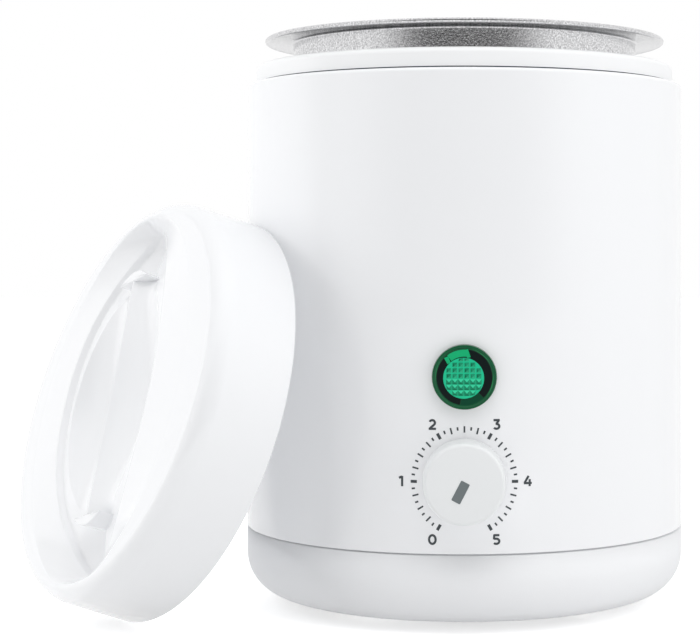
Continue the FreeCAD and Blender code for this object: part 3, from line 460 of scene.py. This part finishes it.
finish_of("brass", (0.75, 0.55, 0.25), (0.25, 0.35), 0.0003, 0.00001, metallic=1.0)
finish_of("copper", (0.72, 0.40, 0.27), (0.25, 0.35), 0.0003, 0.00001, metallic=1.0)
finish_of("insulation", srgb(226, 222, 210), (0.9, 1.0), 0.0008, 0.0002)
# painted shade: the dark grey of the open joint over the shell's top edge
seam_shade_grey = finish_of("seam_shade_grey", srgb(70, 76, 82), (0.6, 0.7), 0.0003, 0.000004)
rubber = finish_of("rubber", srgb(38, 38, 40), (0.6, 0.7), 0.0003, 0.00003)
dark_plastic = finish_of("dark_plastic", srgb(30, 31, 33), (0.4, 0.5), 0.0003, 0.00002)
finish_of("block_plastic", srgb(226, 222, 208), (0.4, 0.5), 0.0004, 0.00001)
finish_of("lead_brown", srgb(112, 70, 40), (0.4, 0.5), 0.0004, 0.00001)
finish_of("lead_blue", srgb(40, 90, 170), (0.4, 0.5), 0.0004, 0.00001)
finish_of("lead_green", srgb(80, 150, 60), (0.4, 0.5), 0.0004, 0.00001)
neon_glass = finish_of("neon_glass", srgb(225, 215, 205), (0.05, 0.1), 0.0006, 0.000002, coat=0.5)
lens_green = finish_of("lens_green", srgb(10, 120, 66), (0.12, 0.16), 0.0005, 0.000004, coat=0.1,
                       specular=0.25)
lens_dark = finish_of("lens_dark", srgb(0, 80, 46), (0.12, 0.16), 0.0005, 0.000004, coat=0.1,
                      specular=0.25)
# painted highlight: the bright green of the bent glint in the lens
lens_glint_green = finish_of("lens_glint_green", srgb(20, 172, 112), (0.2, 0.3), 0.0005, 0.000006, specular=0.12)
# painted shade: the dark of the gap round the lens window
lens_gap_shade_black = finish_of("lens_gap_shade_black", srgb(10, 22, 22), (0.2, 0.3), 0.0005, 0.000004, specular=0.12)
# painted light: the deep green of the gap's floor at the bottom, where light reaches it
lens_gap_lit_green = finish_of("lens_gap_lit_green", srgb(4, 66, 44), (0.2, 0.3), 0.0005, 0.000004, specular=0.12)
# painted light: the light green lines of the plate between the prisms
lens_painted_light_line = finish_of("lens_painted_light_line", srgb(34, 190, 142), (0.2, 0.3), 0.0005, 0.000004, specular=0.12)
# painted light and shade on the prisms, from a shaded green to a lit green
prism_green_painted_light = finish_of("prism_green_painted_light", srgb(12, 150, 96), (0.15, 0.2), 0.0005, 0.000002, specular=0.12)
painted_face_shading(prism_green_painted_light, srgb(2, 98, 66), srgb(60, 206, 158))

finishes.update(green_lens=lens_green, clear_glass=neon_glass)


def dress_nodes():
    """Every CAD node that stays gets the finish of its slot."""
    slots = {part["node"]: part["material_slot"] for part in frame["record"]["subparts"]}
    for name, node in frame["nodes"].items():
        node.data.materials.clear()
        node.data.materials.append(finishes[slots[name]])


# ---------------------------------------------------------------- casing

def make_shell():
    path = rounded_path([
        (shell_radius, 60, 0), (shell_radius, shell_high, shell_edge),
        (shell_radius - shell_wall, shell_high, 0.4), (shell_radius - shell_wall, ledge_high, 0),
        (ledge_radius, ledge_high, 0.2), (ledge_radius, ledge_low, 0.2),
        (shell_radius - shell_wall, ledge_low, 0), (shell_radius - shell_wall, shell_low, 0.2),
        (shell_radius, shell_low, 0.25), (shell_radius, 59, 0)])
    return piece("shell", turned(path), gloss_white, "casing", ["outer_shell"])


def make_painted_seam_shade():
    """Painted shade: a dark ring set into the open joint between the shell's top edge and the collar, where
    the joint is in shade.
    """
    inner, outer = collar_radius - seam_depth, collar_radius + seam_lift
    low, high = shell_high + 0.02, shell_high + seam_width
    path = np.array([(outer, low), (outer, high), (inner, high), (inner, low), (outer, low)])
    return piece("collar_seam_painted_shade", turned(path), seam_shade_grey, "casing", (), 30)


def make_collar():
    under = collar_high - collar_plate
    neck = collar_bore + collar_neck_wall
    path = rounded_path([
        (collar_radius, 128, 0), (collar_radius, collar_high, collar_edge),
        (collar_bore, collar_high, collar_edge / 2), (collar_bore, collar_neck_low, 0.2),
        (neck, collar_neck_low, 0.2), (neck, under, 0.4), (collar_radius - collar_skirt, under, 0.4),
        (collar_radius - collar_skirt, collar_low, 0.2), (collar_radius, collar_low, 0.2),
        (collar_radius, 127, 0)])
    return piece("collar", turned(path), collar_white, "casing", ["top_collar"])


def make_pot():
    """The flange's edge is rolled under: a bead whose circle hangs from the flange's rim."""
    inner, under = pot_radius - pot_wall, pot_high - pot_flange_thick
    bead_at, bead_z = pot_flange - pot_bead, pot_high - pot_bead
    turn = np.radians(np.linspace(-90, 90, 13))
    bead = [(bead_at + pot_bead * math.cos(t), bead_z + pot_bead * math.sin(t), 0) for t in turn]
    path = rounded_path(
        [(0, pot_low, 0), (pot_radius, pot_low, pot_corner), (pot_radius, under, 0.6),
         (bead_at - 0.4, under, 0)] + bead
        + [(inner, pot_high, 1.2), (inner, pot_low + pot_wall, pot_corner - pot_wall),
           (0, pot_low + pot_wall, 0)])
    return piece("pot", turned(path), pot_metal, "pot", ["wax_pot"])


def make_well():
    inner, floor, under = well_radius - well_wall, well_low + well_floor, well_high - well_wall
    path = rounded_path([
        (0, well_low, 0), (well_radius, well_low, well_corner), (well_radius, under, 0.5),
        (well_flange, under, 0.2), (well_flange, well_high, 0.2), (inner, well_high, 0.5),
        (inner, floor, well_corner - well_wall), (0, floor, 0)])
    top = well_low + 0.5
    stud = turned(np.array([(0, stud_low), (stud_radius, stud_low), (stud_radius, top), (0, top)]), 32)
    return piece("well", joined(turned(path), stud), well_metal, "casing",
                 ["heating_well"])


# ---------------------------------------------------------------- knob and dial

def make_knob():
    """The cap's side leans in by the draft to a rounded edge, its face is a very shallow dome, and the
    hub stands in its hollow back."""
    skirt = knob_radius + knob_draft
    hollow, hub = knob_radius - 1.8, 5.4
    back_of_face, bore = 6.4, 3.1
    path = rounded_path([
        (0, knob_height, 0), (knob_radius * 0.5, knob_height - 0.05, 30),
        (knob_radius, knob_height - 0.25, knob_edge), (skirt, 0, 0.3), (hollow, 0, 0.2),
        (hollow, back_of_face, 0.4), (hub, back_of_face, 0.2), (hub, 0.5, 0.2), (bore, 0.5, 0),
        (bore, back_of_face - 0.2, 0), (0, back_of_face - 0.2, 0)])
    return piece("knob", laid_forward(turned(path, 240), knob_y, knob_z, knob_turn), knob_white,
                 "knob", ["control_knob"])


def make_pointer():
    """Rounded bar let into the face, a hair proud of it, that runs from the middle to the edge."""
    half, corner = pointer_width / 2, pointer_corner
    top, bottom = pointer_back, pointer_back - pointer_length
    spots = [(half - corner, top - corner, 0), (corner - half, top - corner, 90),
             (corner - half, bottom + corner, 180), (half - corner, bottom + corner, 270)]
    outline = np.concatenate([bow(spot[:2], corner, corner, spot[2], spot[2] + 90, 6) for spot in spots])
    surface = pad(outline, knob_height - 0.6, knob_height + 0.05, 0.05)
    return piece("pointer", laid_forward(surface, knob_y, knob_z, knob_turn), pointer_grey, "knob",
                 ["knob_pointer"])


def tick_strokes():
    """Ticks every 7.5 degrees over 300: the wide ones stand at the numbers, and every other one of the
    rest is long. The ring is a little narrower than high, as wide and high as the dial's two radii."""
    longest = 1.48
    shape = {"number": (longest, 0.68), "long": (longest, 0.38), "short": (0.78, 0.4)}
    strokes = []
    for count in range(5 * ticks_per_number + 1):
        kind = "long" if count % 2 == 0 else "short"
        length, width = shape["number" if count % ticks_per_number == 0 else kind]
        turn = math.radians(240 - count * tick_turn)
        out = np.array([math.cos(turn) * dial_width, math.sin(turn) * dial_height])
        inset = (longest - length) * 0.2
        reach = np.linspace(-inset - length, -inset, 4)[:, None]
        strokes.append((out + reach * out / np.linalg.norm(out), width, False))
    return strokes


def number_strokes():
    """The numbers 0 to 5, each drawn about its own middle with straight runs and elliptic bows."""
    ring = bow((0, 0), 0.76, 1.0, 0, 350, 35)
    numbers = [
        [(ring, True)],
        [([(0.26, -1.19), (0.26, 1.19)], False), ([(-0.5, 0.72), (0.22, 1.06)], False)],
        [(np.concatenate([bow((-0.02, 0.39), 0.62, 0.6, 160, -38), [(-0.66, -0.99)]]), False),
         ([(-0.84, -1.0), (0.84, -1.0)], False)],
        [([(-0.68, 1.0), (0.76, 1.0)], False), ([(0.6, 1.02), (-0.02, 0.16)], False),
         (np.concatenate([[(-0.2, 0.13)], bow((0.0, -0.43), 0.66, 0.56, 88, -146)]), False)],
        [([(0.2, 1.19), (-0.76, -0.4)], False), ([(-0.94, -0.47), (0.96, -0.47)], False),
         ([(0.46, 0.42), (0.46, -1.19)], False)],
        [([(-0.62, 1.0), (0.68, 1.0)], False), ([(-0.5, 1.15), (-0.58, 0.05)], False),
         (np.concatenate([[(-0.6, 0.18)], bow((-0.04, -0.4), 0.7, 0.59, 92, -140)]), False)],
    ]
    strokes = []
    for place, number in zip(number_places, numbers):
        for path, closed in number:
            strokes.append((np.array(path, dtype=float) + np.array(place), number_stroke, closed))
    return strokes


def make_dial_print():
    """Ticks and numbers as a thin layer of print wrapped on the shell."""
    bars = [pen_stroke(path, width, print_lift, print_lift + print_thickness, closed)
            for path, width, closed in tick_strokes() + number_strokes()]
    surface = on_shell(joined(*bars), knob_z - dial_drop)
    return piece("dial_print", surface, print_grey, "casing", (), 30)


# ---------------------------------------------------------------- lamp

def lamp_piece(name, surface, finish, crease=30.0, stands_for=(), painted_shades=None):
    """A piece of the lamp, drawn about Z and laid forward on the shell."""
    return piece(name, laid_forward(surface, lamp_y, lamp_z), finish, "casing", stands_for,
                 crease, painted_shades)


def make_lens():
    """The lens: a raised rounded edge round a flat face, and its hollow stem behind."""
    stem, wall = 5.8, 1.2
    path = rounded_path([
        (0, lens_face, 0), (6.6, lens_face, 0.3), (6.95, lens_height, 0.25), (7.4, lens_height, 0.3),
        (lens_radius, 0, 0.15), (stem, 0, 0.1), (stem, -4.0, 0.2), (stem - wall, -4.0, 0.2),
        (stem - wall, -0.1, 0.1), (0, -0.1, 0)])
    return lamp_piece("lens", turned(path, 180), lens_dark, 38.0, ["lamp_lens"])


def make_lens_gap_shading():
    """Painted shade in the gap round the window: a dark ring over all but the bottom, and at the bottom a
    lighter deep green, painted light where light reaches the gap's floor.
    """
    middle = (window_radius + ring_outer) / 2 - 0.1
    width = ring_outer - window_radius + 0.3
    dark = pen_stroke(bow((0, 0), middle, middle, -47, 261, 120), width, lens_face - 0.2, lens_face + 0.05)
    lamp_piece("lens_gap_painted_shade", dark, lens_gap_shade_black)
    floor = pen_stroke(bow((0, 0), middle, middle, 262, 312, 30), width, lens_face - 0.2, lens_face + 0.03)
    lamp_piece("lens_gap_painted_light", floor, lens_gap_lit_green)


def make_window():
    """Round plate whose light green lines show between small prisms; the lines and the lighter and darker
    faces of the prisms are painted light and shade, standing in for light bent through the lens. Each prism
    is a pyramid cut off below its tip, on a cell of a square grid; corners past the window's edge are pulled
    back onto it."""
    plate = pad(bow(window_at, window_radius, window_radius, 0, 355, 71), lens_face - 0.2,
                lens_face + 0.1, 0.05)
    lamp_piece("window_plate", plate, lens_painted_light_line)
    cols, rows = np.meshgrid(np.arange(7), np.arange(7))
    cols, rows = cols.ravel(), rows.ravel()
    middle = np.stack([prism_corner[0] + (cols + 0.5) * prism_pitch[0],
                       prism_corner[1] - (rows + 0.5) * prism_pitch[1]], axis=1)
    keep = np.linalg.norm(middle - window_at, axis=1) < window_radius - 0.15
    middle, rows, cols = middle[keep], rows[keep], cols[keep]
    low_rows = rows >= 4
    line = np.where(low_rows, 0.02, 0.12)[:, None]
    half = np.array(prism_pitch)[None] / 2
    corner = np.array([(-1, 1), (1, 1), (1, -1), (-1, -1)])
    base = middle[:, None] + corner[None] * (half - line)[:, None]
    tip = middle[:, None] + corner[None] * (half * 0.16)[:, None] + np.array([0.0, -0.12])
    spots = np.concatenate([base, tip], axis=1)
    reach = np.linalg.norm(spots - window_at, axis=2, keepdims=True)
    limit = window_radius - 0.06
    spots = window_at + (spots - window_at) * np.minimum(1, limit / np.maximum(reach, 1e-6))
    level = np.array([lens_face + 0.09] * 4 + [lens_face + 0.3] * 4)
    points = np.concatenate([spots, np.broadcast_to(level[None, :, None], (len(spots), 8, 1))], axis=2)
    sides = np.array([(0, 1, 5, 4), (1, 2, 6, 5), (2, 3, 7, 6), (3, 0, 4, 7), (4, 5, 6, 7), (3, 2, 1, 0)])
    faces = (np.arange(len(spots)) * 8)[:, None, None] + sides[None]
    # painted light and shade: fixed values for each prism's sides and top, the upper side lit in the lower
    # rows; a random spread in the upper rows
    upper_painted_light = np.array([0.25, 0.42, 0.62, 0.12, 0.35, 0.3])
    lower_painted_light = np.array([1.0, 0.3, 0.1, 0.22, 0.3, 0.3])
    painted_shades = np.where(low_rows[:, None], lower_painted_light, upper_painted_light)
    drift = 0.5 + 0.5 * np.sin(cols * 2.4 + rows * 1.7)
    painted_shades = painted_shades + np.where(low_rows, 0.0, 0.16)[:, None] * (drift[:, None] - 0.5)
    lamp_piece("window_prisms", (points.reshape(-1, 3), faces.reshape(-1, 4)), prism_green_painted_light, 1.0, (),
               painted_shades.reshape(-1))


def make_lens_painted_glints():
    """Painted highlights held in the lens: a bent bright band at the top left and three slivers of the
    lighter lens green along the edge.
    """
    low, high = lens_face - 0.1, lens_face + 0.12
    clip = [pen_stroke([(-4.2, 4.6), (-3.5, 3.2)], [1.0, 0.8], low, high),
            pen_stroke(bow((0, 0), 5.6, 5.55, 128, 84, 16), 1.6, low, high + 0.01),
            pen_stroke([(0.45, 6.35), (1.05, 4.5)], [0.75, 0.85], low, high + 0.02)]
    lamp_piece("lens_painted_glint", joined(*clip), lens_glint_green)
    fine = np.sin(np.linspace(0.15, math.pi - 0.15, 31))
    # painted highlights: slivers of the lighter lens green along the lens's edge
    slivers = [pen_stroke(bow((0, 0), 6.72, 6.72, 74, 28, 30), 0.42 * fine, low, high),
               pen_stroke(bow((0, 0), 6.78, 6.78, 10, -44, 30), 0.6 * fine, low, high),
               pen_stroke(bow((0, 0), 6.78, 6.78, 140, 192, 30), 0.5 * fine, low, high)]
    lamp_piece("lens_painted_edge_glints", joined(*slivers), lens_green)


# ---------------------------------------------------------------- lid

def lens_width(half_length, half_width, along):
    """Half the width, at a place along it, of a lens whose two sides are arcs."""
    radius = (half_length ** 2 + half_width ** 2) / (2 * half_width)
    return np.maximum(np.sqrt(np.maximum(radius ** 2 - along ** 2, 0)) - radius + half_width, 0)


def ease(low, high, value):
    """0 up to low, 1 from high, and between them, with share s, s squared (3 - 2 s)."""
    share = np.clip((value - low) / (high - low), 0, 1)
    return share * share * (3 - 2 * share)


def crown_level(across, along):
    """The shallow ball that the two crescents lie on."""
    ball = (lid_top_radius ** 2 + lid_crown ** 2) / (2 * lid_crown)
    return lid_top_level + lid_crown - ball + np.sqrt(ball ** 2 - across ** 2 - along ** 2)


def lid_lines(along):
    """Half-widths, at a place along the lid, of the lines where its top changes: the rim of the two
    scoops, the inside and the crest of the band, the band's foot, and the edge of the top."""
    edge = np.sqrt(np.maximum(lid_top_radius ** 2 - along ** 2, 0))
    foot = np.minimum(lens_width(band_half_length, band_half_width, along), edge * 0.985)
    crest = np.minimum(np.maximum(lens_width(eye_half_length, eye_half_width, along), 0.5), foot * 0.8)
    inside = np.maximum(crest - ledge_run, crest * 0.55)
    scoop = np.minimum(lens_width(scoops_half_length, scoops_half_width, along), inside * 0.95)
    return np.maximum(scoop, inside * 0.3), inside, crest, foot, edge


def lid_level(across, along):
    """Level of the lid's top. Outside the band's foot it is the crown; from there the band runs
    straight to the crest, which falls towards the ends as the distance to the power 2.7; a step leads
    down to the ledge, which dips to a keel past the scoops; and each scoop is an arc from the ridge to
    the scoops' rim. From the rim's start outwards, with share n, all of it rises to the one level of
    the edge by n cubed (4 - 3 n)."""
    across, far = np.abs(across), np.abs(along)
    scoop, inside, crest, foot, _ = lid_lines(along)
    crest_level = crest_high - crest_fall * (np.minimum(far, eye_half_length) / eye_half_length) ** 2.7
    rise = np.clip((across - crest) / np.maximum(foot - crest, 1e-6), 0, 1)
    band = crest_level + (crown_level(foot, along) - crest_level) * rise

    step = ledge_step * (1 - ease(eye_half_length - 5, eye_half_length, far))
    keel = keel_depth * ease(keel_from, keel_full, far) * (
        1 - np.clip((far - keel_full) / (eye_half_length - keel_full), 0, 1) ** 2)

    def ledge(place):
        return crest_level - step - keel * (1 - place / np.maximum(crest, 1e-6))

    down = np.clip((crest - across) / np.maximum(crest - inside, 1e-6), 0, 1)
    shelf = np.where(across < inside, ledge(across), crest_level + (ledge(inside) - crest_level) * down)

    sunk = ease(ridge_half_length, ridge_half_length + 1.4, far)
    ridge = ridge_level * (1 - sunk) + ledge(0) * sunk
    share = np.clip(across / np.maximum(scoop, 1e-6), 0, 1)
    chord = np.hypot(scoop, ledge(scoop) - ridge) * (1 - sunk)
    rim_drop = np.sqrt(scoop_radius ** 2 - chord ** 2 / 4)
    dip = np.sqrt(scoop_radius ** 2 - (chord * (share - 0.5)) ** 2) - rim_drop
    hollow = ridge + (ledge(scoop) - ridge) * share - dip
    top = np.where(across < scoop, hollow, shelf)
    top = np.where(across >= crest, band, top)
    top = np.where(across >= foot, crown_level(across, along), top)
    near = np.clip((np.hypot(across, along) - rim_start) / (lid_top_radius - rim_start), 0, 1)
    rim = near ** 3 * (4 - 3 * near)
    return top * (1 - rim) + lid_top_level * rim


def lid_top(across, along):
    """The top with its edges eased: the mean of the level at seven places within 0.3 millimetre."""
    steps = [(0, 0), (0.12, 0), (-0.12, 0), (0.26, 0), (-0.26, 0), (0, 0.3), (0, -0.3)]
    reach = lid_top_radius - 0.01
    total = 0
    for right, up in steps:
        x, y = across + right, along + up
        shrink = np.minimum(1, reach / np.maximum(np.hypot(x, y), 1e-6))
        total = total + lid_level(x * shrink, y * shrink)
    return total / len(steps)


def lid_caps():
    """The two crescent ends of the grip, each a pad between a straight side and an arc."""
    radius = (cap_half_width ** 2 + cap_bulge ** 2) / (2 * cap_bulge)
    half = math.degrees(math.asin(cap_half_width / radius))
    middle = ridge_half_length + cap_bulge - radius
    arc = bow((0, middle), radius, radius, 90 - half, 90 + half, 40)
    line = np.column_stack([np.linspace(-cap_half_width, cap_half_width, 41)[1:-1],
                            np.full(39, ridge_half_length - 0.1)])
    outline = np.concatenate([arc, line])
    low, high = 14.5, ridge_level + 0.05
    return [pad(outline, low, high, 0.3), pad(outline * [-1, -1], low, high, 0.3)]


def lid_frame():
    """Across, along and outward directions of the leaning lid, and the middle of its rim circle. The
    circle stands a small gap above the table and is moved away from the casing until its nearest point
    clears the shell by that gap; halving the interval finds the distance."""
    lean, heading = math.radians(lid_lean), math.radians(lid_heading)
    bearing, turn = math.radians(lid_bearing), math.radians(lid_turn)
    out = np.array([-math.cos(lean) * math.cos(heading), -math.cos(lean) * math.sin(heading), math.sin(lean)])
    right = np.array([math.sin(heading), -math.cos(heading), 0])
    up = np.cross(out, right)
    toward = np.array([-math.cos(bearing), -math.sin(bearing), 0])
    around = np.radians(np.arange(360))[:, None]
    rim = lid_radius * (right * np.cos(around) + up * np.sin(around))
    near, far = shell_radius, shell_radius + 2 * lid_radius
    for _ in range(50):
        reach = (near + far) / 2
        nearest = np.linalg.norm((toward * reach + rim)[:, :2], axis=1).min()
        near, far = (reach, far) if nearest < shell_radius + rest_gap else (near, reach)
    middle = toward * far + np.array([0, 0, rest_gap + lid_radius * up[2]])
    across = right * math.cos(turn) + up * math.sin(turn)
    along = up * math.cos(turn) - right * math.sin(turn)
    return across, along, out, middle


def spread(start, end, count):
    """Columns from one line to the next, closer at both: start + (end - start) (1 - cos a) / 2."""
    share = (1 - np.cos(np.linspace(0, math.pi, count + 1)))[:-1] / 2
    return start[:, None] + (end - start)[:, None] * share[None]


def make_lid():
    """Chords across the lid, each with its columns on the lid's own lines, carry the top's level; the
    chords' ends go round the edge, down the side, round the rim and up the inside, where plainer chords
    close it."""
    stations, inner_columns, columns_between_lines = 300, 40, (30, 7, 5, 18, 10)
    angle = np.linspace(-math.pi / 2, math.pi / 2, stations)
    along = lid_top_radius * np.sin(angle)
    lines = [np.zeros(stations), *lid_lines(along)]
    half = np.concatenate([spread(lines[i], lines[i + 1], count)
                           for i, count in enumerate(columns_between_lines)] + [lines[-1][:, None]], axis=1)
    across = np.concatenate([-half[:, :0:-1], half], axis=1)
    along_grid = np.broadcast_to(along[:, None], across.shape)
    blend = ease(lid_top_radius - 0.8, lid_top_radius, np.hypot(across, along_grid))
    level = lid_top(across, along_grid) * (1 - blend) + lid_top_level * blend
    top = np.stack([across, along_grid, level], axis=-1)
    top_faces = quads_of(*across.shape)

    inner_radius = lid_top_radius - lid_wall
    wide = inner_radius * np.cos(angle)[:, None] * np.linspace(-1, 1, inner_columns)[None]
    deep = np.broadcast_to(inner_radius * np.sin(angle)[:, None], wide.shape)
    eye = lens_width(eye_half_length + lid_wall, eye_half_width + lid_wall, deep)
    behind = np.minimum(lid_level(wide, deep), crown_level(wide, deep)) - lid_wall
    behind = np.where(np.abs(wide) < eye, under_grip, behind)
    rim_in = ease(inner_radius - 3, inner_radius, np.hypot(wide, deep))
    inner_level = under_grip + 0.6
    behind = np.minimum(behind * (1 - rim_in) + inner_level * rim_in, lid_level(wide, deep) - 1.2)
    inside = np.stack([wide, deep, behind], axis=-1)

    turn = np.radians(np.linspace(0, 90, 15))
    side_top = lid_top_level - lid_edge_drop
    side_radius = lid_radius - lid_draft * side_top / lid_top_level
    edge = np.column_stack([lid_top_radius + (side_radius - lid_top_radius) * np.sin(turn),
                            side_top + lid_edge_drop * np.cos(turn), 0 * turn])
    foot = [(lid_radius, 0, 0.5), (lid_radius - lid_wall, 0, 0.5), (side_radius - lid_wall, inner_level, 2.5),
            (inner_radius, inner_level, 0)]
    path = rounded_path([tuple(spot) for spot in edge] + foot, 6)
    ends = np.concatenate([angle, math.pi - angle[1:-1][::-1]])
    ring = np.stack([path[:, :1] * np.cos(ends), path[:, :1] * np.sin(ends),
                     path[:, 1:] + 0 * ends], axis=-1)
    side = (ring.reshape(-1, 3), quads_of(len(path), len(ends), False, True))
    surface = joined((top.reshape(-1, 3), top_faces), side,
                     (inside.reshape(-1, 3), quads_of(*wide.shape)), *lid_caps())
    across_way, along_way, out, middle = lid_frame()
    points = middle + surface[0] @ np.stack([across_way, along_way, out])
    return piece("lid", (points, surface[1]), lid_white, "loose_lid", ["lid"], 62.0)


# ---------------------------------------------------------------- studio

def background_rays(nodes, links):
    """A value that is 1 for camera rays, and one that is 1 for camera, glossy or transmission rays."""
    path = nodes.new("ShaderNodeLightPath")
    gloss = nodes.new("ShaderNodeMath")
    gloss.operation = "MAXIMUM"
    both = nodes.new("ShaderNodeMath")
    both.operation = "MAXIMUM"
    links.new(path.outputs["Is Glossy Ray"], gloss.inputs[0])
    links.new(path.outputs["Is Transmission Ray"], gloss.inputs[1])
    links.new(gloss.outputs[0], both.inputs[0])
    links.new(path.outputs["Is Camera Ray"], both.inputs[1])
    return path.outputs["Is Camera Ray"], both.outputs[0]


def make_floor(glow_strength=0.55):
    """White floor: to the camera it has a plain white added to its own shade, which leaves it a soft
    shadow, and gloss and glass see it white."""
    mesh = bpy.data.meshes.new("floor")
    reach = 3.0
    mesh.from_pydata([(-reach, -reach, 0), (reach, -reach, 0), (reach, reach, 0), (-reach, reach, 0)], [],
                     [(0, 1, 2, 3)])
    floor = bpy.data.objects.new("floor", mesh)
    bpy.context.scene.collection.objects.link(floor)
    material = bpy.data.materials.new("floor_white")
    material.use_nodes = True
    nodes, links = material.node_tree.nodes, material.node_tree.links
    nodes.clear()
    out = nodes.new("ShaderNodeOutputMaterial")
    matte = nodes.new("ShaderNodeBsdfDiffuse")
    matte.inputs["Color"].default_value = (0.85, 0.85, 0.85, 1)
    glow = nodes.new("ShaderNodeEmission")
    glow.inputs["Strength"].default_value = glow_strength
    both = nodes.new("ShaderNodeAddShader")
    white = nodes.new("ShaderNodeEmission")
    seen = nodes.new("ShaderNodeMixShader")
    pick = nodes.new("ShaderNodeMixShader")
    links.new(matte.outputs[0], both.inputs[0])
    links.new(glow.outputs[0], both.inputs[1])
    camera_ray, any_ray = background_rays(nodes, links)
    links.new(any_ray, pick.inputs[0])
    links.new(matte.outputs[0], pick.inputs[1])
    links.new(camera_ray, seen.inputs[0])
    links.new(white.outputs[0], seen.inputs[1])
    links.new(both.outputs[0], seen.inputs[2])
    links.new(seen.outputs[0], pick.inputs[2])
    links.new(pick.outputs[0], out.inputs["Surface"])
    floor.data.materials.append(material)


def make_world(front_level=0.08, side_level=0.9, left_share=0.9):
    """Studio all round: bright at the sides, above and behind, darker in front, where the room is, and
    a little darker on the left, where a fill light helps. The level goes with the ray's Y from straight
    in front to square, and with its X on the left. The camera sees plain white, and gloss and glass
    see it too, apart from the darker front."""
    dark_to, bright_from = -0.95, -0.35
    world = bpy.data.worlds.new("studio")
    bpy.context.scene.world = world
    world.use_nodes = True
    nodes, links = world.node_tree.nodes, world.node_tree.links
    nodes.clear()
    out = nodes.new("ShaderNodeOutputWorld")
    way = nodes.new("ShaderNodeTexCoord")
    parts = nodes.new("ShaderNodeSeparateXYZ")
    left = nodes.new("ShaderNodeMapRange")
    left.inputs["From Min"].default_value = -1.0
    left.inputs["From Max"].default_value = 0.0
    left.inputs["To Min"].default_value = left_share
    left.inputs["To Max"].default_value = 1.0
    weigh = nodes.new("ShaderNodeMath")
    weigh.operation = "MULTIPLY"
    share = nodes.new("ShaderNodeMapRange")
    share.interpolation_type = "SMOOTHSTEP"
    share.inputs["From Min"].default_value = dark_to
    share.inputs["From Max"].default_value = bright_from
    level = nodes.new("ShaderNodeMapRange")
    level.inputs["To Min"].default_value = front_level
    level.inputs["To Max"].default_value = side_level
    shown = nodes.new("ShaderNodeMath")
    shown.operation = "MULTIPLY"
    white_for = nodes.new("ShaderNodeMath")
    white_for.operation = "MAXIMUM"
    light, white = nodes.new("ShaderNodeBackground"), nodes.new("ShaderNodeBackground")
    for shown_white in (light, white):
        shown_white.inputs["Color"].default_value = (1.0, 1.0, 1.0, 1)
    pick = nodes.new("ShaderNodeMixShader")
    camera_ray, any_ray = background_rays(nodes, links)
    links.new(way.outputs["Generated"], parts.inputs[0])
    links.new(parts.outputs["Y"], share.inputs["Value"])
    links.new(share.outputs["Result"], level.inputs["Value"])
    links.new(parts.outputs["X"], left.inputs["Value"])
    links.new(left.outputs["Result"], weigh.inputs[0])
    links.new(level.outputs["Result"], weigh.inputs[1])
    links.new(weigh.outputs[0], light.inputs["Strength"])
    links.new(any_ray, shown.inputs[0])
    links.new(share.outputs["Result"], shown.inputs[1])
    links.new(camera_ray, white_for.inputs[0])
    links.new(shown.outputs[0], white_for.inputs[1])
    links.new(white_for.outputs[0], pick.inputs[0])
    links.new(light.outputs[0], pick.inputs[1])
    links.new(white.outputs[0], pick.inputs[2])
    links.new(pick.outputs[0], out.inputs["Surface"])


def hung(name, data, away):
    """A lamp turned to shine against the direction away. It shows in no gloss."""
    lamp = bpy.data.objects.new(name, data)
    lamp.visible_glossy = False
    lamp.rotation_euler = (math.atan2(math.hypot(away[0], away[1]), away[2]), 0,
                           math.atan2(away[0], -away[1]))
    bpy.context.scene.collection.objects.link(lamp)
    return lamp


def softbox(name, place, aim, size, power):
    """Square lamp at a place in metres, turned to face a point."""
    data = bpy.data.lights.new(name, "AREA")
    data.shape = "RECTANGLE"
    data.size, data.size_y = size, size
    data.energy = power
    hung(name, data, np.array(place) - np.array(aim)).location = place


def fill_light(name, away, strength):
    """Soft light from one direction that reaches between the lid and the casing."""
    data = bpy.data.lights.new(name, "SUN")
    data.energy = strength
    data.angle = math.radians(60)
    data.use_shadow = False
    hung(name, data, away)


def make_lights():
    middle = (0, 0, 0.07)
    softbox("right_box", (0.85, -0.45, 0.35), middle, 0.9, 1.9)
    softbox("top_box", (0, -0.35, 0.95), middle, 0.8, 3.2)
    fill_light("front_fill", (0.0, -1.0, 0.0), 0.66)
    fill_light("left_fill", (-1.0, 0.1, -0.25), 1.3)


def make_camera():
    """Level camera straight in front of the casing; the frame is shifted so that the casing stands
    right of its middle, as wide and as high as it should."""
    frame_width = 700
    frame_height = 640
    focal_length = 1870                      # in widths of a picture point
    axis_x, horizon_y = 464.4, 250.3         # where the casing's axis and the eye level lie
    eye_distance, eye_height = 486.1, 89.6   # millimetres
    data = bpy.data.cameras.new("camera")
    data.sensor_width = 36.0
    data.lens = data.sensor_width * focal_length / frame_width
    data.shift_x = (frame_width / 2 - axis_x) / frame_width
    data.shift_y = (horizon_y - frame_height / 2) / frame_width
    camera = bpy.data.objects.new("camera", data)
    bpy.context.scene.collection.objects.link(camera)
    camera.location = (0, -eye_distance * MM, eye_height * MM)
    camera.rotation_euler = (math.radians(90), 0, 0)
    bpy.context.scene.camera = camera


bpy.context.scene.view_settings.view_transform = "Standard"
dress_nodes()
make_shell()
make_collar()
make_painted_seam_shade()
make_pot()
make_well()
make_knob()
make_pointer()
make_dial_print()
make_lens()
make_lens_gap_shading()
make_window()
make_lens_painted_glints()
make_lid()
for node, finish, slot in (("base_pan", matte_white, "matte_white"), ("rubber_feet", rubber, "rubber"),
                           ("inlet_bush", dark_plastic, "dark_plastic")):
    smoothed(node, finish, "casing")
make_floor()
make_world()
make_lights()
make_camera()
